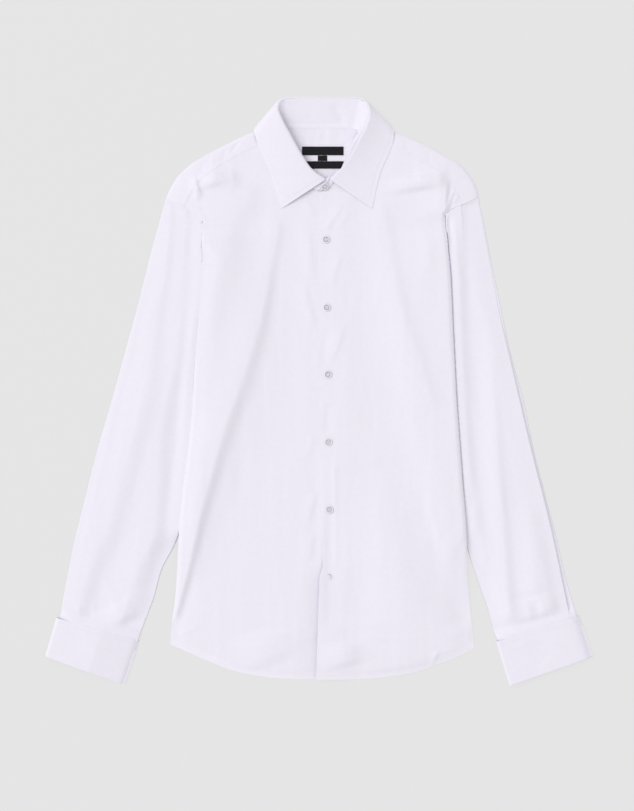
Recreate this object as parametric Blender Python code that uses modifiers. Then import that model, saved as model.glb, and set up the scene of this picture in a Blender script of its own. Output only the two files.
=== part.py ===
"""Long sleeve dress shirt, buttoned and laid flat on its back.

Frame: metres, +X to the wearer's left, +Y to the collar, +Z up, floor at z = 0, and the
origin in the middle of the shirt's outline. The tables give millimetres in that frame.
The back panel, sleeves and cuffs lie on the floor. The body lies over the inner edge of each
sleeve, the fronts lie on the back, and the collar stands round the open neck.
"""

import math

import bmesh
import bpy
import numpy as np
from mathutils import Matrix

MM = 0.001

# Cloth and how loosely its layers lie
WALL = 1.2
SEAM_GAP = 0.3
FRONT_LIFT = 2.6
HEM_LIFT = 1.2
EDGE_ROUND = 8.0
SHOULDER_TURN = 1.5
SLEEVE_LOFT = 5.4
SLEEVE_EDGE = 1.9
SLEEVE_FLAT = 3.0
TUCK_RAMP = 28.0
TUCK_CLEAR = 0.9
TUCK_STARTS = {"right": 208.0, "left": 214.0}
BODY_CLEAR = 9.0
ARMHOLE_GAP = 0.8
BACK_HEM_INSET = 1.5

# Fastening
BUTTON_STAND = 25.0
BUTTON_RADIUS = 5.4
BUTTON_THICK = 2.4
BUTTON_RIM = 1.1

# Collar
ROLL_RADIUS = 3.0
LAP_RIGHT = 2.0
LAP_LEFT = 0.2
SEAM_REST = 1.0
ROW_SOFTNESS = 0.5

# Cuffs
CUFF_LAYER = 1.6
CUFF_LOFT = 8.4
CUFF_SEAM_DEPTH = 0.22
SLEEVE_AT_CUFF = 0.977

# Body outline: (x, y). The side edges run from the hem corner to the underarm.
HEM = ((-209, -354), (-185, -364.5), (-145, -381.5), (-122.5, -390), (-85, -398), (-55, -401.5),
       (-2, -402.5), (57, -402), (103, -398), (142, -390), (164.5, -381.5), (188, -373), (216, -359))
SIDE_RIGHT = ((-209, -354), (-206.5, -323), (-202, -289), (-199, -247), (-196.7, -203), (-194, -166),
              (-185.5, -96), (-178.5, -34), (-173, 53), (-167, 128), (-163, 198), (-162, 225), (-163, 237))
SIDE_LEFT = ((216, -359), (213.5, -331), (210.5, -306), (207.5, -272), (205.5, -247), (206, -219),
             (199, -113), (192, -16), (187, 82), (182, 178), (180, 198), (178, 219), (176, 237), (176, 246))
# Armhole seams, from the underarm to the shoulder point, and where the yoke's seam meets them.
ARMHOLE_RIGHT = ((-163, 237), (-171.5, 246), (-181, 254), (-188, 259), (-202, 264), (-215, 269.5))
ARMHOLE_LEFT = ((176, 246), (183, 254), (190, 257), (201, 261.5), (211, 268), (222.5, 272))
YOKE_ON_ARMHOLE = {"right": 0.53, "left": 0.47}
# Shoulder folds, from the armhole to the neck.
SHOULDER_RIGHT = ((-215, 269.5), (-209.5, 282), (-199.5, 299), (-182.5, 316), (-156, 332.5),
                  (-122.5, 349.5), (-96, 362), (-73, 368.5))
SHOULDER_LEFT = ((222.5, 272), (220.5, 282), (212, 299), (198, 316), (171.5, 332.5),
                 (139, 349.5), (104, 363), (57, 369.5))
# Front seams of the yoke, from the neck to the armhole.
YOKE_SEAM_RIGHT = ((-63.5, 351), (-86, 342.5), (-125, 324), (-148, 310), (-167, 294.5), (-181, 275), (-188, 259.5))
YOKE_SEAM_LEFT = ((48.5, 353), (98, 342.5), (138, 324), (160, 310), (178, 294.5), (190, 276.5), (196.5, 259.6))
BACK_NECK = ((-73, 368.5), (-40, 371), (0, 371.5), (35, 371), (57, 369.5))
BACK_YOKE_SAG = 8.0
# Neck edge of the right front's button stand, inside the left front.
BUTTON_STAND_NECK = ((11, 284.6), (18, 290.5), (24.5, 298.5))
# Free edge of the left front, from the hem to the neck.
PLACKET_EDGE = ((-4.5, -402), (-3, -351), (-0.5, -282), (1, -255), (4.5, -244), (3.5, -229), (2, -174), (0.5, -125),
                (-0.5, -79), (0.5, 24), (-1, 89), (-2, 174), (-3, 218), (-2, 243), (-0.5, 271), (-0.5, 279.5))

# Sleeve edges from the armhole to the cuff: (x, y). The middle of each inner edge lies under the body.
SLEEVE_OUTER_RIGHT = ((-215, 269.5), (-223, 240), (-234.5, 198), (-252, 128), (-272, 55), (-290.5, -12),
                      (-310, -79), (-327, -146), (-343.5, -213), (-353.5, -264), (-361, -304), (-364.5, -327))
SLEEVE_INNER_RIGHT = ((-163.6, 236.4), (-164.8, 207), (-152, 183), (-128, 128), (-117, 72), (-122, 16),
                      (-136, -40), (-162, -110), (-185, -173), (-202, -214), (-220, -248), (-232, -290),
                      (-246, -327), (-257, -358))
SLEEVE_OUTER_LEFT = ((222.5, 272), (230, 240), (238.5, 198), (253, 128), (268, 55), (286, -12),
                     (299, -79), (316, -146), (333.5, -213), (345, -264), (357, -304), (362, -324))
SLEEVE_INNER_LEFT = ((176.8, 245.4), (180.7, 213), (168, 188), (146, 134), (134, 76), (139, 18),
                     (152, -40), (176, -114), (196, -180), (209, -228), (224, -272), (236, -306),
                     (244.5, -338), (254.5, -360))

# Turned-back cuffs: corners (x, y) of the outer and inner ends of the top and folded edges.
CUFFS = {
    "right": dict(outer_top=(-366.8, -315.7), inner_top=(-251.8, -347.9), inner_fold=(-272.5, -410),
                  outer_fold=(-382.4, -370), open_side="inner"),
    "left": dict(outer_top=(363.3, -312.9), inner_top=(246.4, -349.3), inner_fold=(265.3, -411.8),
                 outer_fold=(382.4, -370.3), open_side="outer"),
}

# Folds of the fronts and sleeves: (name, half width, height, path). A negative height is a trough.
FRONT_FOLDS = (
    ("right_chest_ridge", 24, 3.0, ((-68, 262), (-84, 178), (-106, 72), (-136, -12), (-158, -82), (-181, -180), (-194, -260))),
    ("right_chest_trough", 13, -1.3, ((-52, 235), (-69, 142), (-80, 79), (-107, -1), (-127, -68), (-150, -152), (-170, -229))),
    ("right_side_trough", 12, -1.0, ((-90, 247), (-107, 198), (-132, 128), (-149, 58), (-165, -12))),
    ("right_side_ridge", 12, 1.2, ((-138, 200), (-150, 120), (-160, 40), (-168, -40))),
    ("left_chest_ridge", 24, 2.6, ((72, 212), (89, 128), (113, 30), (147, -152), (178, -264), (198, -330))),
    ("left_chest_trough", 16, -1.2, ((92, 110), (100, -20), (112, -140), (130, -210), (150, -280))),
    ("placket_ridge", 13, 1.4, ((20, -40), (22, -100), (23, -165), (22, -240), (18, -300))),
    ("left_placket_trough", 12, -0.9, ((36, -60), (45, -125), (54, -205), (50, -250))),
    ("left_shoulder_hollow", 14, -1.2, ((135, 290), (160, 285), (170, 280))),
    ("right_shoulder_hollow", 12, -1.2, ((-158, 292), (-145, 291), (-132, 290))),
    ("hem_hollow_right", 22, -0.8, ((-60, -350), (-35, -360), (-10, -365))),
    ("hem_hollow_left", 18, -0.8, ((38, -350), (50, -368), (62, -370))),
)
SLEEVE_FOLDS = (
    ("right_outer_ridge", 12, 0.9, ((-216, 226), (-229, 156), (-245, 66), (-262, -28), (-280, -125))),
    ("right_trough_1", 9, -1.1, ((-208, 250), (-218, 184), (-232, 66), (-246, -26), (-262, -110))),
    ("right_middle_ridge", 10, 0.9, ((-198, 218), (-201, 117), (-218, 33), (-225, -18), (-242, -101))),
    ("right_trough_2", 9, -1.1, ((-184, 215), (-184, 133), (-194, 66), (-201, -18), (-211, -102), (-216, -150))),
    ("right_cuff_hollow", 14, -1.0, ((-290, -312), (-265, -318), (-252, -320))),
    ("left_trough_1", 9, -1.1, ((208, 227), (206, 130), (213, -16), (216, -89))),
    ("left_inner_ridge", 10, 0.9, ((213, 178), (220, 33), (233, -113), (240, -180))),
    ("left_trough_2", 10, -1.1, ((245, 33), (255, -64), (267, -186), (269, -282))),
    ("left_outer_ridge", 11, 0.8, ((238, 140), (262, 30), (284, -70), (310, -170), (330, -250))),
)

# Collar, from the right point round the back to the left point: apex of the roll (x, y, z), how far
# the roll is turned towards the floor (degrees), the leaf's outer edge (x, y) and its height above
# what it lies on, the seam with the neck (x, y), and the leaf's crown.
UNDER = None
COLLAR_ROWS = (
    ("apex_x", "apex_y", "apex_z", "turn", "edge_x", "edge_y", "edge_z", "seam_x", "seam_y", "crown"),
    (7.7, 294, 17.0, 0, -53, 255.5, 0.8, -2.5, 281.0, 2.0),
    (-2, 300, 18.5, 0, -59, 274, 0.6, -16, 287.7, 2.5),
    (-12, 310, 20.0, 0, -64, 292, 0.5, -28.7, 299, 2.5),
    (-20, 324, 21.5, 0, -69, 304.5, 0.5, -40, 311.5, 2.5),
    (-28, 338, 22.5, 0, -73, 314.5, 0.5, -48.5, 324, 2.5),
    (-36, 352, 23.0, 0, -77, 324, 0.5, -57, 337, 2.5),
    (-43, 366, 23.0, 0, -82, 335, 0.5, -64, 348, 2.5),
    (-50, 380, 22.0, 5, -86.5, 345, 0.6, -69, 358, 2.5),
    (-56, 393, 18.5, 20, -91, 356.5, 1.0, -70, 365, 2.5),
    (-56, 404.5, 11.5, 45, -94.5, 367.8, UNDER, -66, 367.6, 1.0),
    (-48.3, 410.9, 5.5, 80, -75, 375.5, UNDER, -53.9, 367.6, 0.0),
    (-31.5, 411.7, 4.0, 90, -39, 374.5, UNDER, -32.9, 367.6, 0.0),
    (0.7, 411.7, 3.7, 90, 0.7, 374.5, UNDER, 0.7, 367.5, 0.0),
    (33, 411.7, 3.7, 90, 43, 374.5, UNDER, 28.7, 367.5, 0.0),
    (56.7, 410.9, 5.0, 80, 80, 375, UNDER, 47, 367.5, 0.0),
    (66.5, 403, 11.5, 45, 103.3, 369, UNDER, 53.5, 365, 1.0),
    (70.5, 392, 17.5, 20, 105, 356.3, 1.0, 54.5, 360.5, 2.0),
    (70, 380, 20.0, 5, 102, 346, 0.8, 51.5, 354, 2.0),
    (65, 366, 21.0, 0, 98.5, 336.5, 0.8, 46.2, 347, 2.0),
    (58, 353.5, 21.0, 0, 94.5, 327.5, 0.8, 41.3, 338.5, 2.0),
    (52.5, 342.3, 20.5, 0, 90.3, 318.5, 0.8, 37.8, 330, 2.0),
    (45.5, 329.7, 20.0, 0, 86, 308, 0.8, 34.8, 321, 2.0),
    (38.5, 318.5, 19.5, 0, 82.5, 296, 0.8, 30.8, 312, 2.0),
    (30, 308.5, 19.0, 0, 79, 282, 0.8, 25.2, 302, 2.0),
    (23, 301, 18.5, 0, 76.3, 268, 0.8, 19.6, 292.5, 1.8),
    (16.1, 294.5, 18.0, 0, 73.5, 255.5, 0.8, 14, 285.5, 1.5),
)
CONTOUR_EDGE_Z = 3.6
UNDER_EDGE_Z = 0.6
# Ends of the band past the leaf: apex (x, y, z) and seam (x, y). The right one lies inside the left one.
BAND_END_RIGHT = (14.5, 300.5, 15.5, 8.7, 286.0)
BAND_END_LEFT = (9.8, 291, 17.5, -0.7, 279.5)

BUTTON_PLACES = {"button_1": (9, 212), "button_2": (10.2, 117.2), "button_3": (11.7, 23.8),
                 "button_4": (12.3, -70.7), "button_5": (13.7, -164.9), "button_6": (13.3, -258.9)}
COLLAR_BUTTON = (7.2, 286.2)
# Neck labels: middle (x, y), width, height and thickness.
LABELS = {"label_main": (4.6, 336.3, 58, 12.1, 1.0), "label_size_tab": (4.2, 326.05, 13, 7.6, 1.0),
          "label_lower": (4.6, 316.7, 58, 10.4, 1.0)}

SHIRT_WHITE = (0.86, 0.85, 0.90)
BUTTON_PEARL = (0.72, 0.71, 0.75)
LABEL_BLACK = (0.012, 0.012, 0.014)


# ---- curves and distances, in millimetres ----

def smooth(q):
    q = np.clip(q, 0.0, 1.0)
    return q * q * (3 - 2 * q)


def rounded(q):
    """Quarter round from 0 at the edge to 1."""
    return np.sqrt(1 - (1 - np.clip(q, 0.0, 1.0)) ** 2)


def smooth_path(points, per_span=12):
    """Dense points of a smooth curve through the given ones."""
    points = np.array(points, float)
    if len(points) < 3:
        return points
    knots = np.concatenate([[0], np.cumsum(np.linalg.norm(np.diff(points, axis=0), axis=1))])
    slopes = np.gradient(points, knots, axis=0)
    dense = []
    for i in range(len(points) - 1):
        t = np.linspace(0, 1, per_span, endpoint=False)[:, None]
        span = knots[i + 1] - knots[i]
        dense.append((2 * t**3 - 3 * t**2 + 1) * points[i] + (t**3 - 2 * t**2 + t) * span * slopes[i]
                     + (3 * t**2 - 2 * t**3) * points[i + 1] + (t**3 - t**2) * span * slopes[i + 1])
    return np.vstack([*dense, points[-1:]])


def along(points, fractions):
    """Points at fractions of the length of the smooth curve through the given points."""
    dense = smooth_path(points)
    length = np.concatenate([[0], np.cumsum(np.linalg.norm(np.diff(dense, axis=0), axis=1))])
    at = np.asarray(fractions, float) * length[-1]
    return np.stack([np.interp(at, length, dense[:, k]) for k in range(dense.shape[1])], axis=-1)


def nearest_on(x, y, path):
    """Distance from each point to a path, and the fraction along the path where it is nearest."""
    path = np.asarray(path, float)
    best, where = np.full(np.shape(x), np.inf), np.zeros(np.shape(x))
    count = len(path) - 1
    for i in range(count):
        ax, ay = path[i]
        dx, dy = path[i + 1] - path[i]
        t = np.clip(((x - ax) * dx + (y - ay) * dy) / max(dx * dx + dy * dy, 1e-9), 0, 1)
        d = np.hypot(x - ax - t * dx, y - ay - t * dy)
        closer = d < best
        best, where = np.where(closer, d, best), np.where(closer, (i + t) / count, where)
    return best, where


def inside(x, y, loop):
    """Whether each point lies inside a closed outline."""
    loop = np.asarray(loop, float)
    result = np.zeros(np.shape(x), bool)
    for (ax, ay), (bx, by) in zip(loop, np.roll(loop, -1, axis=0)):
        if ay != by:
            crosses = (ay > y) != (by > y)
            result ^= crosses & (x < (bx - ax) * (y - ay) / (by - ay) + ax)
    return result


def distance_to_area(x, y, loop):
    """Distance from each point to an outlined area, 0 inside it."""
    closed = np.vstack([loop, loop[:1]])
    return np.where(inside(x, y, loop), 0.0, nearest_on(x, y, closed)[0])


def fold_height(x, y, folds):
    """Sum of soft ridges and troughs that fade towards both ends of their paths."""
    total = np.zeros(np.shape(x))
    for _, half_width, height, path in folds:
        d, where = nearest_on(x, y, smooth_path(path, 4))
        fade = smooth(where / 0.18) * smooth((1 - where) / 0.18)
        total = total + height * fade * np.exp(-((d / half_width) ** 2))
    return total


def patch(bottom, top, first, last, us, vs):
    """Plan points of a panel between four edges: bottom and top run along u, first and last along v."""
    u, v = np.meshgrid(us, vs, indexing="ij")
    u, v = u[..., None], v[..., None]
    corners = (1 - u) * (1 - v) * bottom[0] + u * (1 - v) * bottom[-1] + (1 - u) * v * top[0] + u * v * top[-1]
    return ((1 - v) * bottom[:, None] + v * top[:, None] + (1 - u) * first[None] + u * last[None] - corners)


# ---- edges shared by neighbouring pieces ----

# Fractions of the shoulder from the armhole to the neck, shared by the yoke and the fronts.
SPREAD = np.array([0, 0.018, 0.06, 0.15, 0.29, 0.43, 0.57, 0.71, 0.86, 1.0])
SHOULDER_SHARE = 0.6
ARMHOLE_SHARE = 0.12

SIDES = {
    "right": dict(side=SIDE_RIGHT, armhole=ARMHOLE_RIGHT, shoulder=SHOULDER_RIGHT, yoke_seam=YOKE_SEAM_RIGHT,
                  outer=SLEEVE_OUTER_RIGHT, inner=SLEEVE_INNER_RIGHT),
    "left": dict(side=SIDE_LEFT, armhole=ARMHOLE_LEFT, shoulder=SHOULDER_LEFT, yoke_seam=YOKE_SEAM_LEFT,
                 outer=SLEEVE_OUTER_LEFT, inner=SLEEVE_INNER_LEFT),
}


def hem_points(xs, inset=0.0):
    dense = smooth_path(HEM)
    return np.stack([xs, np.interp(xs, dense[:, 0], dense[:, 1]) + inset], axis=-1)


def body_loop():
    """Outline of the body from the hem to both underarms."""
    return np.vstack([smooth_path(SIDE_RIGHT, 4), smooth_path(SIDE_LEFT, 4)[::-1]])


def tucked_loop(side):
    """The part of a sleeve's inner edge that lies under the body, as an area."""
    inner = smooth_path(SIDES[side]["inner"], 4)
    under = inner[inside(inner[:, 0], inner[:, 1], body_loop())]
    edge = smooth_path(SIDES[side]["side"], 4)
    edge = edge[(edge[:, 1] > under[:, 1].min()) & (edge[:, 1] < under[:, 1].max())]
    return np.vstack([under, edge])


TUCKED = {side: tucked_loop(side) for side in SIDES}
BODY_LOOP = body_loop()


def back_bottom(x, y):
    """Underside of the back: on the floor, and raised where a sleeve lies under it."""
    raised = np.zeros(np.shape(x))
    for side, loop in TUCKED.items():
        near = 1 - smooth((distance_to_area(x, y, loop) - 4) / TUCK_RAMP)
        below_start = smooth((TUCK_STARTS[side] + 19 - y) / 18)
        raised = np.maximum(raised, near * (SLEEVE_FLAT + TUCK_CLEAR) * below_start)
    return raised


def front_bottom(x, y):
    """Underside of the fronts and of the yoke's front strips."""
    to_side = np.minimum(*(nearest_on(x, y, smooth_path(SIDES[s]["side"], 4))[0] for s in SIDES))
    to_hem = nearest_on(x, y, smooth_path(HEM, 4))[0]
    lift = FRONT_LIFT + fold_height(x, y, FRONT_FOLDS)
    lift = HEM_LIFT + (lift - HEM_LIFT) * smooth(to_hem / 45)
    lift = np.maximum(lift, 0.25) * rounded(to_side / EDGE_ROUND)
    return back_bottom(x, y) + WALL + SEAM_GAP + 0.3 + lift


def left_front_rise(x):
    """How far the left front lies above the right one, fading past the button stand."""
    return (WALL + SEAM_GAP + 0.15) * (1 - smooth((x - BUTTON_STAND - 8) / 28)) * (x > -8)


def top_of_body(x, y):
    return front_bottom(x, y) + left_front_rise(x) + WALL


def neck_edge(side, lap):
    """The fronts' neck edge, from the yoke's seam to the middle, just inside the band's seam."""
    rows = collar_rows()
    seam, outward = rows["seam"], rows["outward"]
    edge = seam - lap * outward
    middle = len(edge) // 2
    return edge[:middle] if side == "right" else edge[middle:]


# ---- meshes ----

def make_object(name, points, faces, colour, roughness, coat=0.0):
    mesh = bpy.data.meshes.new(name)
    mesh.from_pydata([tuple(p * MM) for p in points], [], faces)
    mesh.update()
    mesh.shade_smooth()
    obj = bpy.data.objects.new(name, mesh)
    PARTS.objects.link(obj)
    obj.data.materials.append(plain_material(name, colour, roughness, coat))
    return obj


def plain_material(name, colour, roughness, coat):
    material = bpy.data.materials.new(name + "_material")
    material.use_nodes = True
    shader = material.node_tree.nodes["Principled BSDF"]
    shader.inputs["Base Color"].default_value = (*colour, 1)
    shader.inputs["Roughness"].default_value = roughness
    shader.inputs["Metallic"].default_value = 0.0
    shader.inputs["Coat Weight"].default_value = coat
    return material


def grid_faces(columns, rows, keep=None):
    faces = []
    for i in range(columns - 1):
        for j in range(rows - 1):
            if keep is None or keep[i, j]:
                faces.append((i * rows + j, (i + 1) * rows + j, (i + 1) * rows + j + 1, i * rows + j + 1))
    return faces


def cloth_sheet(name, grid, offset, keep=None, flip=False):
    """A wall of cloth on a grid of points; offset 1 keeps the grid as its underside, 0 as its middle."""
    columns, rows = grid.shape[:2]
    faces = grid_faces(columns, rows, keep)
    used = sorted({i for face in faces for i in face})
    renumber = {old: new for new, old in enumerate(used)}
    faces = [tuple(renumber[i] for i in (face[::-1] if flip else face)) for face in faces]
    obj = make_object(name, grid.reshape(-1, 3)[used], faces, SHIRT_WHITE, 0.85)
    wall = obj.modifiers.new("wall", "SOLIDIFY")
    wall.thickness = WALL * MM
    wall.offset = offset
    wall.use_even_offset = True
    wall.use_quality_normals = True
    return obj


# ---- body panels ----

def front_plan(side, neck_columns, rows, armhole_rows):
    """Plan points of a front, u from its side edge to its free edge, v from the hem to the yoke."""
    edges = SIDES[side]
    placket = smooth_path(PLACKET_EDGE)
    neck = neck_edge(side, LAP_RIGHT if side == "right" else LAP_LEFT)
    if side == "right":
        neck = neck[::-1]
        neck = np.vstack([neck[neck[:, 1] < 350], BUTTON_STAND_NECK])
    else:
        neck = np.vstack([neck[neck[:, 1] < 352], [placket[-1] + [8, 1.5], placket[-1]]])
    us = np.concatenate([SPREAD * SHOULDER_SHARE, np.linspace(SHOULDER_SHARE, 1, neck_columns + 1)[1:]])
    seam = along(edges["yoke_seam"][::-1], SPREAD)
    seam[0] = along(edges["armhole"], [YOKE_ON_ARMHOLE[side]])[0]
    top = np.vstack([seam, along(np.vstack([seam[-1:], neck]), np.linspace(0, 1, neck_columns + 1))[1:]])
    free = placket + [BUTTON_STAND if side == "right" else 0.0, 0]
    free = np.vstack([free[free[:, 1] < top[-1, 1] - 2], top[-1:]])
    bottom = hem_points(edges["side"][0][0] + us * (free[0, 0] - edges["side"][0][0]))
    free[0] = bottom[-1]
    split = 1 - ARMHOLE_SHARE
    vs = np.concatenate([np.linspace(0, split, rows + 1), np.linspace(split, 1, armhole_rows + 1)[1:]])
    side_edge = np.vstack([along(edges["side"], np.linspace(0, 1, rows + 1)),
                           along(edges["armhole"], np.linspace(0, YOKE_ON_ARMHOLE[side], armhole_rows + 1)[1:])])
    return patch(bottom, top, side_edge, along(free, vs), us, vs)


def front(side, neck_columns, rows, armhole_rows):
    plan = front_plan(side, neck_columns, rows, armhole_rows)
    x, y = plan[..., 0], plan[..., 1]
    z = front_bottom(x, y) + (left_front_rise(x) if side == "left" else 0)
    return cloth_sheet(f"front_{side}", np.dstack([x, y, z]), 1, flip=side == "left")


def back_plan(columns, rows, armhole_rows):
    us = np.concatenate([[0, 0.012, 0.036, 0.09], np.linspace(0.09, 0.91, columns - 5)[1:-1], [0.91, 0.964, 0.988, 1]])
    split = 1 - ARMHOLE_SHARE / 2
    vs = np.concatenate([np.linspace(0, split, rows + 1), np.linspace(split, 1, armhole_rows + 1)[1:]])
    bottom = hem_points(HEM[0][0] + us * (HEM[-1][0] - HEM[0][0]), BACK_HEM_INSET)
    top = back_yoke_seam(us, -SEAM_GAP)
    edge = {}
    for side, corner in (("right", bottom[0]), ("left", bottom[-1])):
        line = along(SIDES[side]["side"], np.linspace(0, 1, rows + 1))
        line[0] = corner
        arm = along(SIDES[side]["armhole"], np.linspace(0, YOKE_ON_ARMHOLE[side], armhole_rows + 1)[1:])
        arm[-1] = top[0] if side == "right" else top[-1]
        edge[side] = np.vstack([line, arm])
    return patch(bottom, top, edge["right"], edge["left"], us, vs)


def back_yoke_seam(us, shift):
    """Points on the seam between the back and the yoke, moved towards the neck."""
    meets = {s: along(SIDES[s]["armhole"], [YOKE_ON_ARMHOLE[s]])[0] for s in SIDES}
    seam = meets["right"] + np.asarray(us)[:, None] * (meets["left"] - meets["right"])
    seam[:, 1] += BACK_YOKE_SAG * np.sin(math.pi * np.asarray(us)) + shift
    return seam


def back(columns, rows, armhole_rows):
    plan = back_plan(columns, rows, armhole_rows)
    x, y = plan[..., 0], plan[..., 1]
    return cloth_sheet("back_panel", np.dstack([x, y, back_bottom(x, y)]), 1)


def yoke(neck_columns):
    """One piece: the back part on the floor, turned over both shoulders to the front seams."""
    back_rows, turn_rows, strip_rows = 4, 4, 4
    last = len(SPREAD) - 1
    rim = np.vstack([along(SHOULDER_RIGHT, SPREAD), along(BACK_NECK, np.linspace(0, 1, neck_columns + 1))[1:-1],
                     along(SHOULDER_LEFT, SPREAD)[::-1]])
    seam = np.vstack([along(YOKE_SEAM_RIGHT[::-1], SPREAD), rim[last + 1:last + neck_columns],
                      along(YOKE_SEAM_LEFT[::-1], SPREAD)[::-1]])
    count = len(rim)
    back_seam = back_yoke_seam(np.linspace(0, 1, count), SEAM_GAP)
    on_shoulder = np.ones(count, bool)
    on_shoulder[last + 1:last + neck_columns] = False
    arms = {0: "right", count - 1: "left"}
    for i, side in arms.items():
        seam[i] = along(SIDES[side]["armhole"], [YOKE_ON_ARMHOLE[side]])[0]
    grid = np.zeros((count, back_rows + turn_rows + strip_rows + 1, 3))
    for i in range(count):
        path = np.array([seam[i], rim[i]]) if on_shoulder[i] else np.array([back_seam[i], rim[i]])
        if i in arms:
            path = along(SIDES[arms[i]]["armhole"], np.linspace(YOKE_ON_ARMHOLE[arms[i]], 1, 9))
        inward = path[-2] - path[-1]
        inward = inward / np.linalg.norm(inward)
        start = rim[i] + inward * ((SHOULDER_TURN + WALL / 2) if on_shoulder[i] else 0)
        on_floor = np.vstack([path[:-1], start]) if i in arms else np.array([back_seam[i], start])
        if i in arms:
            on_floor[0] = back_seam[i]
        rows = [(*p, WALL / 2) for p in along(on_floor, np.linspace(0, 1, back_rows + 1))]
        for k in range(1, turn_rows):
            angle = math.pi * k / turn_rows
            rows.append((*(start - inward * SHOULDER_TURN * math.sin(angle)),
                         WALL / 2 + SHOULDER_TURN * (1 - math.cos(angle))))
        strip = np.vstack([start, path[-2::-1]]) if i in arms else np.array([start, path[0]])
        end_step = strip[-1] - strip[-2]
        strip[-1] = strip[-1] - end_step / np.linalg.norm(end_step) * SEAM_GAP
        first = WALL / 2 + 2 * SHOULDER_TURN
        for t, (x, y) in zip(np.linspace(0, 1, strip_rows + 1), along(strip, np.linspace(0, 1, strip_rows + 1))):
            settled = float(front_bottom(np.array(x), np.array(y))) + WALL / 2
            rows.append((x, y, first + (settled - first) * float(rounded(np.array(t)))))
        grid[i] = rows
    keep = np.zeros((count - 1, grid.shape[1] - 1), bool)
    keep[:, :back_rows] = True
    keep[on_shoulder[:-1] & on_shoulder[1:]] = True
    return cloth_sheet("yoke", grid, 0, keep=keep)


# ---- sleeves and cuffs ----

def sleeve_top(side, x, y):
    """Top of a sleeve: level with the body at the armhole, flat under the body, full elsewhere."""
    edges = SIDES[side]
    loft = SLEEVE_LOFT + fold_height(x, y, SLEEVE_FOLDS)
    from_body = distance_to_area(x, y, BODY_LOOP)
    loft = SLEEVE_FLAT + (loft - SLEEVE_FLAT) * smooth((from_body - BODY_CLEAR) / 14)
    to_armhole = nearest_on(x, y, smooth_path(edges["armhole"], 4))[0]
    armhole_level = FRONT_LIFT + 2 * WALL + SEAM_GAP + 0.3
    return loft + (armhole_level - loft) * (1 - smooth(to_armhole / 20)) * (from_body > 0.05)


def cuff_frame(side):
    c = CUFFS[side]
    return [np.array(c[k], float) for k in ("outer_top", "inner_top", "inner_fold", "outer_fold")]


def sleeve(side, stations, across):
    """A flattened tube through rings: the top from the outer to the inner edge, then the underside."""
    edges = SIDES[side]
    inner_path = smooth_path(edges["inner"])
    start = np.array([0.0, TUCK_STARTS[side]])
    start[0] = np.interp(-start[1], -inner_path[:, 1], inner_path[:, 0])
    length = np.concatenate([[0], np.cumsum(np.linalg.norm(np.diff(inner_path, axis=0), axis=1))])
    tuck = length[np.argmin(np.linalg.norm(inner_path - start, axis=1))] / length[-1]
    ss = np.concatenate([[0.0], np.linspace(tuck, SLEEVE_AT_CUFF, stations - 1), [1.0]])
    cs = np.concatenate([[0.0, 0.015, 0.055], np.linspace(0.055, 0.945, across - 3)[1:-1], [0.945, 0.985, 1.0]])
    outer, inner = along(edges["outer"], ss), along(edges["inner"], ss)
    armhole = along(edges["armhole"], np.linspace(0, 1, 30))[::-1]
    top_edge = along(armhole, cs)
    run = np.gradient(top_edge, axis=0)
    run /= np.linalg.norm(run, axis=1, keepdims=True)
    away = np.stack([run[:, 1], -run[:, 0]], axis=-1) * (1 if side == "right" else -1)
    top_edge = top_edge + ARMHOLE_GAP * away
    outer[0], inner[0] = top_edge[0], top_edge[-1]
    cuff_edge = outer[-1] + cs[:, None] * (inner[-1] - outer[-1])
    plan = patch(outer, inner, top_edge, cuff_edge, ss, cs)
    x, y = plan[..., 0], plan[..., 1]
    width = np.linalg.norm(inner - outer, axis=1)[:, None]
    outer_top, inner_top, _, _ = cuff_frame(side)
    in_cuff = 1 - smooth(((nearest_on(x, y, [outer_top, inner_top])[0]) * np.where(
        np.cross(inner_top - outer_top, np.dstack([x, y]) - outer_top) * (1 if side == "right" else -1) > 0, 1, 0) - 1) / 16)
    edge = rounded(np.minimum(cs, 1 - cs)[None] * width / (7.0 + 18.0 * in_cuff))
    top = sleeve_top(side, x, y)
    seated_top, seated_bottom = CUFF_LOFT - CUFF_LAYER - 0.7, CUFF_LAYER + 0.2
    top = top + (seated_top - top) * in_cuff
    floor = seated_bottom * in_cuff
    middle = floor + np.minimum(SLEEVE_EDGE, (top - floor) / 2)
    upper = middle + (top - middle) * edge
    lower = middle + (floor - middle) * edge
    ring = np.concatenate([np.dstack([x, y, upper]), np.dstack([x, y, lower])[:, -2:0:-1]], axis=1)
    lengthwise = np.gradient(ring, axis=0)
    around = np.roll(ring, -1, axis=1) - np.roll(ring, 1, axis=1)
    normal = np.cross(around, lengthwise)
    normal /= np.linalg.norm(normal, axis=2, keepdims=True)
    outwards = normal[stations // 2, across // 2, 2] > 0
    lining = ring - normal * (WALL if outwards else -WALL)
    count = ring.shape[1]
    points = np.vstack([ring.reshape(-1, 3), lining.reshape(-1, 3)])
    shift = (stations + 1) * count
    faces = []
    for i in range(stations):
        for j in range(count):
            a, b = i * count + j, i * count + (j + 1) % count
            faces.append((a, b, b + count, a + count))
            faces.append((a + shift, a + count + shift, b + count + shift, b + shift))
    for j in range(count):
        a, b = j, (j + 1) % count
        faces.append((a, a + shift, b + shift, b))
        a, b = stations * count + j, stations * count + (j + 1) % count
        faces.append((a, b, b + shift, a + shift))
    obj = make_object(f"sleeve_{side}", points, faces, SHIRT_WHITE, 0.85)
    face_outwards(obj.data)
    return obj


def face_outwards(mesh):
    work = bmesh.new()
    work.from_mesh(mesh)
    bmesh.ops.recalc_face_normals(work, faces=work.faces)
    work.to_mesh(mesh)
    work.free()


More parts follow.
